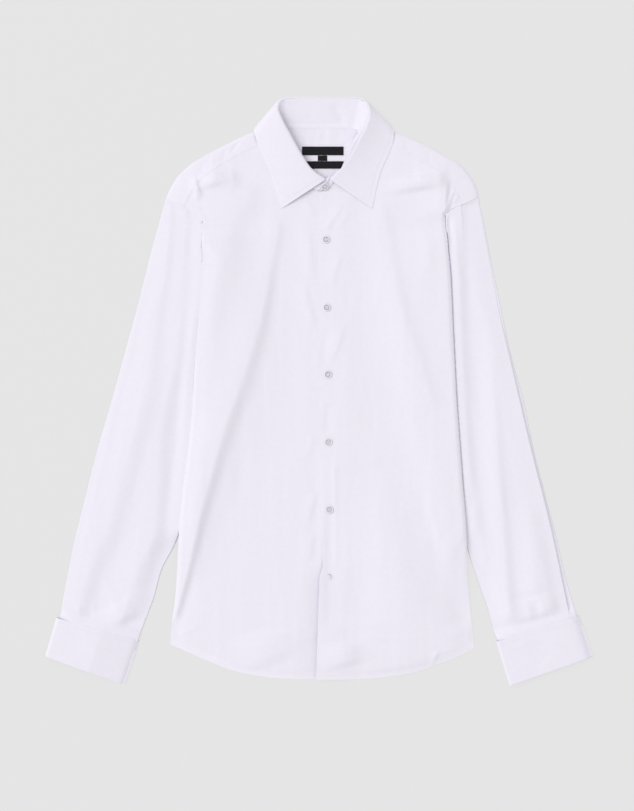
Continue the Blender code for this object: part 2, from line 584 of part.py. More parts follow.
def cuff(side, across):
    """A double cuff: an outer layer from the top edge to the fold, then the inner layer back up."""
    outer_top, inner_top, inner_fold, outer_fold = cuff_frame(side)
    open_first = CUFFS[side]["open_side"] == "outer"
    if open_first:
        starts, ends = (outer_top, outer_fold), (inner_top, inner_fold)
    else:
        starts, ends = (inner_top, inner_fold), (outer_top, outer_fold)
    depth = np.concatenate([np.linspace(0, 0.95, 5), [0.985]])

    def layer(inwards, along_depth):
        """One layer's ring, from the open side over the top, round the closed side and back underneath."""
        top_start, fold_start = starts
        top_end, fold_end = ends
        first = top_start + along_depth * (fold_start - top_start)
        final = top_end + along_depth * (fold_end - top_end)
        width = np.linalg.norm(final - first)
        unit = (final - first) / width
        half_low = WALL / 2 + inwards
        loft = CUFF_LOFT - inwards
        closed = 3 * CUFF_LAYER + WALL / 2 - inwards
        turn = (loft - half_low - WALL / 2) / 2
        ring = []
        for t in np.linspace(0, 1, across):
            run = t * (width - turn - inwards)
            height = closed + (loft - WALL / 2 - closed) * float(smooth(np.array(run / 22)))
            ring.append((*(first + unit * run), height))
        crown = ring[-1][2]
        turn = (crown - half_low) / 2
        centre = first + unit * (width - turn - inwards - WALL / 2)
        ring[-1] = (*centre, crown)
        for k in range(1, 4):
            angle = math.pi * k / 4
            ring.append((*(centre + unit * turn * math.sin(angle)), half_low + turn * (1 + math.cos(angle))))
        for t in np.linspace(0, 1, across):
            point = centre + t * (first - centre)
            ring.append((*point, half_low))
        return np.array(ring)

    rows = [layer(0.0, b) for b in depth[:-1]]
    rows.append(0.5 * (layer(0.0, depth[-1]) + layer(CUFF_LAYER, depth[-1])))
    rows += [layer(CUFF_LAYER, b) for b in depth[-2::-1] if b >= CUFF_SEAM_DEPTH]
    grid = np.stack(rows, axis=1)
    obj = cloth_sheet(f"cuff_{side}", grid, 0, flip=(side == "left") != open_first)
    return obj


# ---- collar ----

def collar_rows():
    """The table's columns as arrays, with the outward direction in plan at each row."""
    names, *rows = COLLAR_ROWS
    values = {n: [row[i] for row in rows] for i, n in enumerate(names)}
    apex = np.stack([values["apex_x"], values["apex_y"], values["apex_z"]], axis=-1).astype(float)
    edge = np.stack([values["edge_x"], values["edge_y"]], axis=-1).astype(float)
    seam = np.stack([values["seam_x"], values["seam_y"]], axis=-1).astype(float)
    run = np.gradient(apex[:, :2], axis=0)
    outward = np.stack([-run[:, 1], run[:, 0]], axis=-1)
    outward /= np.linalg.norm(outward, axis=1, keepdims=True)
    return dict(apex=apex, turn=np.radians(values["turn"]), edge=edge, edge_rest=values["edge_z"], seam=seam,
                crown=np.array(values["crown"], float), outward=outward)


def edge_heights(rows):
    """Height of the leaf's outer edge: above the fronts, at the shoulder's fold, or on the floor."""
    heights = []
    for (x, y), rest, turn in zip(rows["edge"], rows["edge_rest"], rows["turn"]):
        if rest is UNDER:
            heights.append(UNDER_EDGE_Z if turn > math.radians(60) else CONTOUR_EDGE_Z)
        else:
            heights.append(float(top_of_body(np.array(x), np.array(y))) + WALL / 2 + SEAM_GAP + rest)
    return np.array(heights)


def seam_heights(rows):
    """Height of the band's lower edge above the yoke at the back and the fronts elsewhere."""
    heights = []
    for (x, y), turn in zip(rows["seam"], rows["turn"]):
        on_front = float(top_of_body(np.array(x), np.array(y)))
        share = float(smooth(np.array((turn - math.radians(20)) / math.radians(50))))
        heights.append(on_front + (WALL - on_front) * share + SEAM_REST + 2 * share * (1 - share))
    return np.array(heights)


def roll_arc(rows, i, angles):
    """Points round the roll of one row, from the band's side to the leaf's side."""
    turn, out = rows["turn"][i], rows["outward"][i]
    up = np.array([*(out * math.sin(turn)), math.cos(turn)])
    over = np.array([*(out * math.cos(turn)), -math.sin(turn)])
    centre = rows["apex"][i] - ROLL_RADIUS * up
    return [centre + ROLL_RADIUS * (up * math.cos(a) + over * math.sin(a)) for a in angles]


BAND_SIDE_ANGLE = math.radians(-75)


def leaf_angle(rows, i):
    return math.radians(40) + rows["turn"][i] / math.radians(90) * math.radians(50)


def refine(grid, per_row):
    """More rows, on soft curves through the given ones."""
    at = np.linspace(0, 1, (len(grid) - 1) * per_row + 1)
    knots = np.linspace(0, 1, len(grid))
    slopes = ROW_SOFTNESS * np.gradient(grid, knots, axis=0)
    index = np.minimum((at * (len(grid) - 1)).astype(int), len(grid) - 2)
    span = knots[1]
    t = ((at - knots[index]) / span)[:, None, None]
    a, b = grid[index], grid[index + 1]
    return ((2 * t**3 - 3 * t**2 + 1) * a + (t**3 - 2 * t**2 + t) * span * slopes[index]
            + (3 * t**2 - 2 * t**3) * b + (t**3 - t**2) * span * slopes[index + 1])


def collar_leaf():
    rows = collar_rows()
    edge_z = edge_heights(rows)
    grid = []
    for i in range(len(rows["apex"])):
        last = leaf_angle(rows, i)
        arc = roll_arc(rows, i, np.linspace(BAND_SIDE_ANGLE, last, 6))
        end = np.array([*rows["edge"][i], edge_z[i]])
        line = []
        for q in (0.3, 0.65, 1.0):
            point = arc[-1] + q * (end - arc[-1])
            line.append(point + [0, 0, rows["crown"][i] * 4 * q * (1 - q)])
        grid.append(np.array(arc + line))
    grid = refine(np.array(grid), 2)
    grid[..., 2] = np.maximum(grid[..., 2], WALL / 2 + 0.15)
    return cloth_sheet("collar_leaf", grid, 0)


def collar_stand():
    rows = collar_rows()
    seam_z = seam_heights(rows)
    grid = []
    for i in range(len(rows["apex"])):
        top, beyond = roll_arc(rows, i, [BAND_SIDE_ANGLE, BAND_SIDE_ANGLE + 0.05])
        low = np.array([*rows["seam"][i], seam_z[i]])
        unit = (top - low) / np.linalg.norm(top - low)
        bend = np.linalg.norm(np.cross(unit, (beyond - top) / np.linalg.norm(beyond - top)))
        grid.append(np.linspace(low, top - unit * (SEAM_GAP + WALL / 2 * bend), 4))
    ends = []
    for (ax, ay, az, sx, sy), near, side in ((BAND_END_RIGHT, grid[0], "right"), (BAND_END_LEFT, grid[-1], "left")):
        rise = top_of_body(np.array(float(sx)), np.array(float(sy))) - (WALL + SEAM_GAP if side == "right" else 0)
        low = np.array([sx, sy, float(rise) + SEAM_REST])
        ends.append(np.linspace(low, (ax, ay, az), 4))
    return cloth_sheet("collar_stand", refine(np.array([ends[0], *grid, ends[1]]), 2), 0)


# ---- buttons and labels ----

def button(name, x, y, z, lean=(0.0, 0.0)):
    """A turned disc with a raised rim, flat underneath."""
    profile = ((0.0, BUTTON_THICK - 0.6), (BUTTON_RADIUS - BUTTON_RIM - 0.7, BUTTON_THICK - 0.6),
               (BUTTON_RADIUS - BUTTON_RIM, BUTTON_THICK), (BUTTON_RADIUS - 0.4, BUTTON_THICK),
               (BUTTON_RADIUS, BUTTON_THICK - 0.9), (BUTTON_RADIUS - 1.2, 0.0), (0.0, 0.0))
    mesh = bpy.data.meshes.new(name)
    mesh.from_pydata([(r * MM, 0, h * MM) for r, h in profile], [(i, i + 1) for i in range(len(profile) - 1)], [])
    obj = bpy.data.objects.new(name, mesh)
    PARTS.objects.link(obj)
    obj.data.materials.append(plain_material(name, BUTTON_PEARL, 0.25, 0.3))
    turned = obj.modifiers.new("turned", "SCREW")
    turned.steps = turned.render_steps = 14
    turned.use_merge_vertices = True
    turned.merge_threshold = 0.00001
    turned.use_smooth_shade = True
    obj.location = (x * MM, y * MM, z * MM)
    obj.rotation_euler = (math.radians(lean[0]), math.radians(lean[1]), 0)
    return obj


def button_rest(x, y):
    """Lowest height at which a level button clears the cloth under it."""
    angles = np.linspace(0, 2 * math.pi, 12, endpoint=False)
    px = np.concatenate([[x], x + BUTTON_RADIUS * np.cos(angles)])
    py = np.concatenate([[y], y + BUTTON_RADIUS * np.sin(angles)])
    return float(top_of_body(px, py).max()) + SEAM_GAP + 0.1


def collar_button():
    """Lies on the band's left end, square to it."""
    rows = collar_rows()
    sx, sy = BAND_END_LEFT[3:]
    low = np.array([sx, sy, float(top_of_body(np.array(float(sx)), np.array(float(sy)))) + SEAM_REST])
    high = np.array(BAND_END_LEFT[:3])
    beside = np.array([*rows["seam"][-1], float(seam_heights(rows)[-1])])
    up = (high - low) / np.linalg.norm(high - low)
    face = np.cross(beside - low, up)
    face /= np.linalg.norm(face)
    if face[2] < 0:
        face = -face
    x, y = COLLAR_BUTTON
    z = low[2] - (face[0] * (x - low[0]) + face[1] * (y - low[1])) / face[2]
    foot = np.array([x, y, z]) + face * (WALL / 2 + SEAM_GAP + 0.15)
    obj = button("button_collar", *foot)
    tilt = math.acos(face[2])
    obj.rotation_mode = "AXIS_ANGLE"
    axis = np.cross((0, 0, 1), face)
    obj.rotation_axis_angle = (tilt, *(axis / np.linalg.norm(axis)))
    return obj


def label(name, x, y, width, height, thick):
    bpy.ops.mesh.primitive_cube_add(size=1)
    obj = bpy.context.active_object
    obj.name = obj.data.name = name
    for holder in list(obj.users_collection):
        holder.objects.unlink(obj)
    PARTS.objects.link(obj)
    obj.data.transform(Matrix.Diagonal((width * MM, height * MM, thick * MM, 1)))
    obj.location = (x * MM, y * MM, (WALL + SEAM_GAP + thick / 2) * MM)
    obj.data.materials.append(plain_material(name, LABEL_BLACK, 0.8, 0.0))
    return obj


for old in list(bpy.data.objects):
    bpy.data.objects.remove(old, do_unlink=True)
PARTS = bpy.data.collections.new("long_sleeve_dress_shirt")
bpy.context.scene.collection.children.link(PARTS)

back(15, 26, 2)
yoke(10)
front("right", 4, 26, 4)
front("left", 4, 26, 4)
for wearer_side in ("right", "left"):
    sleeve(wearer_side, 20, 13)
    cuff(wearer_side, 8)
collar_stand()
collar_leaf()
collar_button()
for button_name, (button_x, button_y) in BUTTON_PLACES.items():
    button(button_name, button_x, button_y, button_rest(button_x, button_y))
for label_name, sizes in LABELS.items():
    label(label_name, *sizes)
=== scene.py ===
"""The looks of the long sleeve dress shirt: fine cloth, seams, stitches, buttons, light and camera.

Everything is in the CAD frame: +X to the wearer's left, +Y to the collar, +Z up, floor at z = 0.
The tables and heights are in millimetres, and each piece lies on the form of the CAD solid that
it replaces. A sheet's grid is its outer face, and the cloth's thickness goes inwards from it.
"""

import math

import bpy
import numpy as np
from mathutils import Matrix, Vector


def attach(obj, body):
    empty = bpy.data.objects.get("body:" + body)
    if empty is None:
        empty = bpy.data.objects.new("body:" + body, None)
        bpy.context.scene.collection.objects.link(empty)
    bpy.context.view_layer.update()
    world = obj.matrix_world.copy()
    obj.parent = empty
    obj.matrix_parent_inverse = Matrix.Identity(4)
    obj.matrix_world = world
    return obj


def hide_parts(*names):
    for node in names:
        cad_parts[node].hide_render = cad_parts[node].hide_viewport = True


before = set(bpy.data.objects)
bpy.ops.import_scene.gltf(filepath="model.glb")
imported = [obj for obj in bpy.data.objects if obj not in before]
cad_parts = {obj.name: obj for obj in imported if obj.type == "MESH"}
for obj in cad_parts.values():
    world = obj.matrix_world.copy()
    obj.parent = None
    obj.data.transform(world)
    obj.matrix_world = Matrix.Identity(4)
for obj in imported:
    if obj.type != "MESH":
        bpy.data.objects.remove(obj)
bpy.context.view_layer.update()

MM = 0.001
FINE = 1

# ---- sizes shared with the solids ----
WALL = 1.2
SEAM_GAP = 0.3
FRONT_LIFT = 2.6
FRONT_BASE = WALL + SEAM_GAP + 0.3
HEM_LIFT = 1.2
SLEEVE_LOFT = 5.4
SLEEVE_EDGE = 1.9
SLEEVE_FLAT = 3.0
TUCK_RAMP = 28.0
TUCK_CLEAR = 0.9
TUCK_STARTS = {"right": 208.0, "left": 214.0}
BUTTON_STAND = 25.0
BUTTON_RADIUS = 5.4
ROLL_RADIUS = 3.0
SEAM_REST = 1.0
CUFF_LAYER = 1.6
CUFF_LOFT = 8.4
CUFF_DEPTH = 62.0
CUFF_SEAM_DEPTH = 0.22
SHOULDER_ROLL = 1.5
BACK_YOKE_SAG = 8.0
YOKE_ON_ARMHOLE = {"right": 0.53, "left": 0.47}

# ---- sizes of the fine cloth ----
CLOTH = 0.55
CUFF_CLOTH = 1.0
COLLAR_CLOTH = 0.7
TUCK_UNDER = 4.0
TUCK_DROP = 1.3
STITCH_PITCH = 2.5
STITCH_LENGTH = 1.7
STITCH_WIDTH = 0.38
STITCH_HEIGHT = 0.17
STITCH_SUNK = 0.05
HEM_WIDTH = 7.0
EDGE_STITCH = 6.0
ARMHOLE_STITCH = 8.2
YOKE_HEM = 5.5
STAND_SEAM = 5.6
STAND_BRIGHT = 7.0
# How far from the right cuff's open end its cloth carries painted shade
PAINTED_SHADE_REACH = 55.0
FRONT_RAMP = 80.0
EDGE_LEVEL = 1.45
SLEEVE_ROUND = 1.6
UNDERARM_ROUND = {"right": 0.8, "left": SLEEVE_ROUND}
BACK_SET_IN = 3.4
BACK_HEM_ENDS = (-208.4, 215.4)
# The shares of a front's grid below the yoke's seam and below the armhole
ON_SHOULDER = 0.6
BELOW_ARM = 0.88
# Where the fronts' neck edges end at the back, and the neck's front inside the collar
NECK_TOPS = {"right": 346.0, "left": 352.0}
NECK_FRONT = 292.0
SIDE_LEVEL = 6.15
SIDE_OVERLAP = 1.8
SIDE_ROUND = 2.5
PLACKET_RISE = 1.05
FADE = 26.0
CREST_WIDTH = 3.0
# The crest's height over that of the solid, from each front end to the back
COLLAR_SETTLED = {"right": (0.66, 0.66, 0.66, 0.67, 0.68, 0.70, 0.73, 0.76, 0.80, 0.88, 1.0, 1.0, 1.0),
                  "left": (0.62, 0.62, 0.63, 0.65, 0.69, 0.73, 0.78, 0.80, 0.81, 0.86, 1.0, 1.0, 1.0)}
INSIDE_RISE = 1.6
FOOT_LEVEL = 2.6
STRIP_HEIGHT = 1.1
PRESSED_LEVEL = 2.0
BUTTON_THICK = 1.9
BUTTON_DISH = 4.45
HOLE_PLACE = 1.15
HOLE_RADIUS = 0.42
LABEL_CLOTH = 0.5

# ---- outlines in plan ----
HEM = ((-209, -354), (-185, -364.5), (-145, -381.5), (-122.5, -390), (-85, -398), (-55, -401.5),
       (-2, -402.5), (57, -402), (103, -398), (142, -390), (164.5, -381.5), (188, -373), (216, -359))
# Each line starts low at the side or the armhole; the sleeves run down from the armhole
SIDES = {
    "right": {
        "side": ((-209, -354), (-206.5, -323), (-202, -289), (-199, -247), (-196.7, -203), (-194, -166),
                 (-185.5, -96), (-178.5, -34), (-173, 53), (-167, 128), (-163, 198), (-162, 225),
                 (-163, 237)),
        "armhole": ((-163, 237), (-171.5, 246), (-181, 254), (-188, 259), (-202, 264), (-215, 269.5)),
        "shoulder": ((-215, 269.5), (-209.5, 282), (-199.5, 299), (-182.5, 316), (-156, 332.5),
                     (-122.5, 349.5), (-96, 362), (-73, 368.5)),
        "yoke_seam": ((-63.5, 351), (-86, 342.5), (-125, 324), (-148, 310), (-167, 294.5), (-181, 275),
                      (-188, 259.5)),
        "outer": ((-215, 269.5), (-223, 240), (-234.5, 198), (-252, 128), (-272, 55), (-290.5, -12),
                  (-310, -79), (-327, -146), (-343.5, -213), (-353.5, -264), (-361, -304), (-364.5, -327)),
        "inner": ((-163, 237), (-161.5, 212), (-151, 183), (-128, 128), (-117, 72), (-122, 16), (-136, -40),
                  (-162, -110), (-185, -173), (-202, -214), (-220, -248), (-232, -290), (-246, -327),
                  (-257, -358)),
    },
    "left": {
        "side": ((216, -359), (213.5, -331), (210.5, -306), (207.5, -272), (205.5, -247), (206, -219),
                 (199, -113), (192, -16), (187, 82), (182, 178), (180, 198), (178, 219), (176, 237),
                 (176, 246)),
        "armhole": ((176, 246), (183, 254), (190, 257), (201, 261.5), (211, 268), (222.5, 272)),
        "shoulder": ((222.5, 272), (220.5, 282), (212, 299), (198, 316), (171.5, 332.5), (139, 349.5),
                     (104, 363), (57, 369.5)),
        "yoke_seam": ((48.5, 353), (98, 342.5), (138, 324), (160, 310), (178, 294.5), (190, 276.5),
                      (196.5, 259.6)),
        "outer": ((222.5, 272), (229.2, 240), (237, 198), (251.4, 128), (266.8, 55), (285.2, -12),
                  (299, -79), (316, -146), (333.5, -213), (345, -264), (357, -304), (362, -324)),
        "inner": ((176, 246), (176, 218), (166, 188), (146, 134), (134, 76), (139, 18), (152, -40),
                  (176, -114), (196, -180), (209, -228), (224, -272), (236, -306), (244.5, -338),
                  (254.5, -360)),
    },
}
BACK_NECK = ((-73, 368.5), (-40, 371), (0, 371.5), (35, 371), (57, 369.5))
BUTTON_STAND_NECK = ((11, 284.6), (18, 290.5), (24.5, 298.5))
PLACKET_EDGE = ((-4.5, -402), (-3, -351), (-0.5, -282), (1, -255), (4.5, -244), (3.5, -229), (2, -174),
                (0.5, -125), (-0.5, -79), (0.5, 24), (-1, 89), (-2, 174), (-3, 218), (-2, 243), (-0.5, 271),
                (-0.5, 279.5))
# The pressed crease down the left sleeve: a fine step with a soft strip beyond it
PRESSED_CREASE = ((221.6, 269), (227.6, 240), (235.4, 198), (252.4, 106), (269.4, 33), (295.4, -79),
                  (320, -176), (349, -311))
CUFFS = {
    "right": dict(outer_top=(-366.8, -315.7), inner_top=(-251.8, -347.9), inner_fold=(-272.5, -410),
                  outer_fold=(-382.4, -370), open_side="inner"),
    "left": dict(outer_top=(363.3, -312.9), inner_top=(246.4, -349.3), inner_fold=(265.3, -411.8),
                 outer_fold=(382.4, -370.3), open_side="outer"),
}

# ---- folds and creases ----
# Each is a crest line with a lit side and a shade side: name, lit width, shade width, height, path.
# The shade side is on the left hand of the path, so a path that runs down has it towards +X.
# A width or a height can change along the path, in even steps. A negative height is a trough.
FRONT_FOLDS = (
    ("right_main_fold", (30, 44, 56, 54, 42, 26), (8, 10, 14, 12, 7.5, 5.5), (2.2, 4.2, 7.4, 7.6, 6.2, 3.6),
     ((-57, 252), (-61, 215), (-68, 180), (-73, 150), (-81.5, 110), (-90.5, 75), (-104.5, 30), (-115, 0),
      (-126.5, -30), (-136, -60), (-146.5, -95), (-156, -130), (-166.5, -170), (-173.5, -200), (-180, -230),
      (-190, -270), (-198, -300), (-204, -326))),
    ("right_foot_trough", 15, 14, (-0.3, -0.8, -0.8, -0.4),
     ((-98, -50), (-115, -130), (-135, -190), (-158, -245))),
    ("right_low_trough", 8, 13, (-0.6, -1.4, -1.2), ((-170, -245), (-182, -285), (-192, -328))),
    ("right_side_streak", 5, 8, 0.5, ((-186, -45), (-190, -100), (-191, -160))),
    ("right_shoulder_hump", 20, 26, (1.8, 2.8, 1.6), ((-162, 306), (-159, 293), (-155, 280))),
    ("right_shoulder_step", 18, 10, (0.4, 2.6, 5.0, 3.4),
     ((-104, 292), (-124, 293), (-145, 294), (-170, 294))),
    ("left_shoulder_hump", 26, 30, (3.0, 6.0, 3.6), ((126, 304), (128, 291), (130, 276))),
    ("left_shoulder_step", 18, 10, (3.0, 4.4, 2.8, 0.6), ((184, 296), (165, 294), (145, 293), (122, 293))),
    ("left_main_fold", (24, 26, 28, 22), (10, 11, 12, 10), (1.6, 2.9, 2.7, 1.4),
     ((84, 272), (90, 240), (97, 200), (102, 170), (107, 140), (114, 110), (123, 80), (135, 50), (143, 20),
      (152, -5), (161, -35))),
    ("left_low_fall", 60, 70, (0.0, 2.0, 5.6, 7.4, 6.4, 3.4, 1.6),
     ((70, -40), (78, -110), (88, -170), (98, -230), (108, -290), (114, -350), (116, -410))),
    ("left_middle_trough", (22, 30, 36, 36, 28), (24, 24, 22, 19, 17), (-0.9, -2.0, -2.9, -3.2, -2.4),
     ((76, 120), (84, 70), (92, 20), (100, -20), (109, -60), (120, -90), (129, -130), (138, -160),
      (147, -190), (157, -220), (168, -245), (180, -280), (192, -310), (202, -337))),
    ("left_side_streak", 8, 8, 0.8, ((150, 220), (152, 190), (150, 160))),
    ("left_side_lift", 16, 9, 0.4, ((168, 235), (170, 180), (174, 120), (178, 40))),
    ("left_low_ridge", 5, 7, 0.8, ((150, -140), (160, -180), (171, -220))),
    ("placket_side_trough", 34, 46, (-0.6, -2.0, -2.8, -2.8, -1.6),
     ((46, -90), (55, -150), (60, -210), (60, -270), (56, -330))),
    ("placket_ridge", 3.5, 5, 0.75, ((20.5, -85), (21.5, -140), (22.5, -200), (23, -255))),
    ("placket_dip_1", 5, 6, -0.5, ((8, 92), (8.5, 60), (9, 30))),
    ("placket_dip_2", 6, 8, -0.7, ((12, -15), (12, -35), (11, -62))),
    ("placket_dip_3", 9, 16, (-0.8, -1.9, -2.0, -1.4), ((15, -150), (15, -205), (14, -262), (14, -340))),
    ("placket_right_dip", 16, 7, (-0.4, -0.9, -0.9, -0.5), ((-6, -70), (-5, -130), (-5, -190), (-6, -250))),
    ("hem_fall_right", 30, 36, (2.2, 4.4, 3.4), ((-82, -330), (-78, -355), (-66, -388))),
    ("hem_fall_left", 26, 22, (2.2, 5.4, 4.6), ((34, -345), (36, -365), (40, -388))),
    ("hem_crease_left", 3.0, 3.5, 0.45, ((160, -341), (130, -343), (90, -344), (36, -344))),
    ("hem_pleat_left", 2.6, 3.2, 1.2, ((167, -360), (160, -372), (155, -386))),
    ("hem_crease_right", 3, 4.5, 0.9, ((-168, -327), (-182, -333), (-200, -341))),
    ("chest_fold_right", (5, 7, 6), (2.6, 3, 3), (1.4, 3.2, 1.8),
     ((-177, 306), (-172.5, 290), (-168, 278), (-164, 268))),
    ("armhole_light_patch", 3, 3, 0.9, ((-173, 287), (-172, 275), (-170, 264))),
    ("chest_fold_left", 24, (3.8, 4.6, 4.0), (2.6, 5.0, 4.2),
     ((180, 300), (176.5, 285), (175, 268), (174, 252), (173.5, 236))),
    ("chest_fold_left_2", 3, 2.6, (1.0, 1.8, 1.2), ((190, 287), (184.5, 273), (179.5, 258), (177, 250))),
    ("chest_fold_left_3", 2.6, 2.6, 0.8, ((196, 278), (190, 268), (186, 259))),
    ("pull_1", 9, 4.5, 1.1, ((35, 265), (23, 248), (12.5, 231), (8, 221))),
    ("pull_2", 9, 4.5, 0.7, ((44, 255), (33, 240), (24, 228))),
    ("pull_3", 10, 5, 1.0, ((34, 192), (25, 180), (20, 165), (18, 145))),
    ("pull_4", 12, (4, 5, 4), (0.8, 1.4, 0.8), ((36, 100), (30, 80), (23, 60), (11, 33))),
    ("pull_5", 9, 4, 0.9, ((-19, 270), (-13, 257), (-7, 245))),
    ("pull_6", 10, 5, 1.0, ((-16, 235), (-14, 205), (-11, 175), (-9, 152))),
    ("pull_7", 10, 5, 1.0, ((-24, 158), (-18, 130), (-11, 102), (-8, 85))),
    ("pull_8", 9, 4.5, 1.1, ((-5, -138), (-11, -160), (-17, -186))),
    ("pull_9", 10, 5, 1.1, ((-10, -195), (-13, -215), (-15, -240))),
    ("pull_10", 4, 4, 0.5, ((-9, -58), (-14, -78), (-19, -98))),
    ("shoulder_crease_right", 3.2, 3.6, 0.6, ((-126, 313), (-120, 298), (-108, 292))),
    ("yoke_crease_right", 2.4, 3.0, 0.5, ((-78, 329), (-104, 330.5), (-118, 326))),
)
# The swell over the side and the sleeve that lie together on the right
SHARED_FOLDS = (
    ("right_side_roll", (50, 76, 90, 74, 50), (18, 30, 32, 26, 18), (2.4, 6.8, 8.2, 5.4, 2.2),
     ((-92, 300), (-104, 275), (-119, 250), (-129, 225), (-136, 200), (-142, 178), (-148, 155), (-153, 130),
      (-158, 105), (-163, 80), (-167, 50), (-171, 20), (-175, -10), (-180, -45))),
)
# Folds of the sleeves' upper side
SLEEVE_FOLDS = (
    ("right_outer_streak", 6, 7, 0.5,
     ((-231, 200), (-246, 130), (-262, 70), (-275, 20), (-288, -30), (-300, -85), (-315, -150),
      (-330, -225))),
    ("right_fold_1", (16, 34, 48, 52, 46, 26), (7, 10, 16, 20, 18, 11), (2.0, 3.2, 5.2, 5.6, 5.2, 3.8),
     ((-205, 290), (-210, 240), (-213, 205), (-218, 155), (-228, 110), (-236, 50), (-244, 8), (-255, -40),
      (-266, -75), (-274, -110), (-285, -150), (-296, -190), (-310, -220), (-325, -260), (-334, -296),
      (-340, -322))),
    ("right_fold_2", (14, 24, 38, 40, 36), (8, 11, 13, 15, 12), (1.7, 1.4, 4.2, 3.9, 2.4),
     ((-187, 280), (-189, 240), (-190, 200), (-190, 150), (-194, 105), (-199, 60), (-207, 20), (-214, -5),
      (-221, -40), (-226, -85), (-227, -120), (-229, -150), (-231, -185), (-237, -220), (-241, -250),
      (-245, -280))),
    ("right_inner_streak", 6, 8, 0.6, ((-173, 130), (-178, 80), (-184, 30), (-188, -20), (-194, -70))),
    ("right_wrist_1", 4, 4, 0.8, ((-338, -296), (-335, -306), (-332, -319))),
    ("right_wrist_2", 4, 5, 0.5, ((-316, -290), (-315, -305), (-314, -322))),
    ("right_wrist_fall", 50, 27, (1.0, 2.2, 1.8), ((-292, -296), (-284, -312), (-276, -334))),
    ("left_wrist_fall", 22, 30, (2.6, 5.0, 4.0), ((290, -284), (294, -302), (298, -324))),
    ("right_wrist_puff", 46, 7, (1.2, 2.4, 3.2, 2.4, 1.0),
     ((-222, -297), (-238, -301), (-254, -306), (-268, -311), (-284, -317), (-302, -323))),
    ("right_wrist_pit", 6, 7, (-2.2, -2.6, -1.6), ((-230, -315), (-245, -318), (-262, -322), (-284, -327))),
    ("left_fold_1", (6, 8, 10, 14, 17, 18, 15, 11, 9, 8), 20,
     (-1.4, -1.9, -2.5, -3.3, -4.2, -4.4, -3.8, -3.2, -3.0, -2.4),
     ((208, 280), (209, 240), (210, 200), (210.5, 150), (213, 110), (217, 60), (222, 20), (225, -30),
      (226.5, -70), (229, -110), (233, -150), (236, -185), (238.5, -220), (239, -250), (238, -280))),
    ("left_hand_ridge", 8, 8, 1.2, ((214, -150), (219, -185), (224, -225), (225, -262))),
    ("left_fold_2", (16, 22, 26, 34), (9, 10, 11, 11), (0.8, 2.6, 4.1, 4.0, 3.2),
     ((237, 70), (238.5, 30), (240.5, 0), (242.5, -30), (244, -60), (246, -90), (248.5, -120), (251, -150),
      (253, -180), (255, -210), (257.5, -240), (260, -270), (261, -300), (260, -335))),
    ("left_fold_3", 18, (14, 24, 26), (0.8, 3.4, 5.6),
     ((290, -150), (296, -200), (300, -250), (302, -296))),
    ("left_wrist_1", 4, 4, 0.8, ((287, -290), (292, -306), (297, -322))),
    ("left_wrist_puff", 14, 9, (1.2, 3.0, 2.6), ((338, -296), (320, -301), (303, -306))),
    ("left_hand_light", 5, 6, 0.8, ((216, -150), (217, -180), (217, -208))),
    ("left_arm_pit", 4, 6, (-1.0, -2.6, -2.2, -0.6), ((179, 254), (180.5, 236), (182, 215), (184, 185))),
    ("left_wrist_shade", 36, 24, (0.4, 3.0, 4.0), ((250, -275), (251, -300), (251, -330))),
)
CUFF_FOLDS = {"right": (("cuff_dent", 16, 12, -0.5, ((-330, -330), (-338, -350), (-344, -376))),),
              "left": (("cuff_hollow", 18, 14, -0.9, ((300, -345), (308, -365), (322, -378))),)}
STAND_FOLDS = (("stand_dent", 6, 6, -2.0, ((20, 405), (24, 394), (30, 382), (33, 372))),)
# Creases of the yoke, over its strips and inside the neck
YOKE_CREASES = (
    ("neck_pucker_1", 3.0, 3.0, -0.8, ((-19, 367), (-19, 358), (-18, 347))),
    ("neck_pucker_2", 2.6, 2.6, -0.6, ((-6, 367), (-6, 358), (-5, 349))),
    ("neck_pucker_3", 3.2, 3.2, -0.8, ((7, 367), (7, 356), (6, 347))),
    ("neck_pucker_4", 3.4, 3.4, -0.6, ((24, 367), (27, 358), (29, 348))),
    ("neck_pucker_5", 3.0, 3.0, 0.5, ((14, 367), (14, 357), (13, 349))),
    ("neck_side_crease", 2.4, 2.6, -1.3, ((-89, 361), (-87, 352), (-81, 341))),
    ("shoulder_pucker_1", 2.8, 2.8, -0.9, ((-129, 341), (-133, 330), (-137, 319))),
    ("shoulder_pucker_2", 2.8, 2.8, -1.1, ((-112, 352), (-118, 342), (-126, 331))),
    ("shoulder_pucker_3", 2.8, 2.8, -0.6, ((-160, 325), (-163, 314), (-165, 304))),
    ("shoulder_pucker_4", 3.0, 3.0, 0.5, ((-145, 333), (-149, 322), (-152, 312))),
    ("shoulder_pucker_5", 2.8, 2.8, -0.6, ((120, 353), (122, 344), (124, 335))),
    ("shoulder_pucker_6", 2.8, 2.8, -0.6, ((152, 336), (153, 326), (153, 317))),
    ("shoulder_pucker_7", 3.0, 3.0, 0.5, ((176, 322), (176, 312), (175, 303))),
)

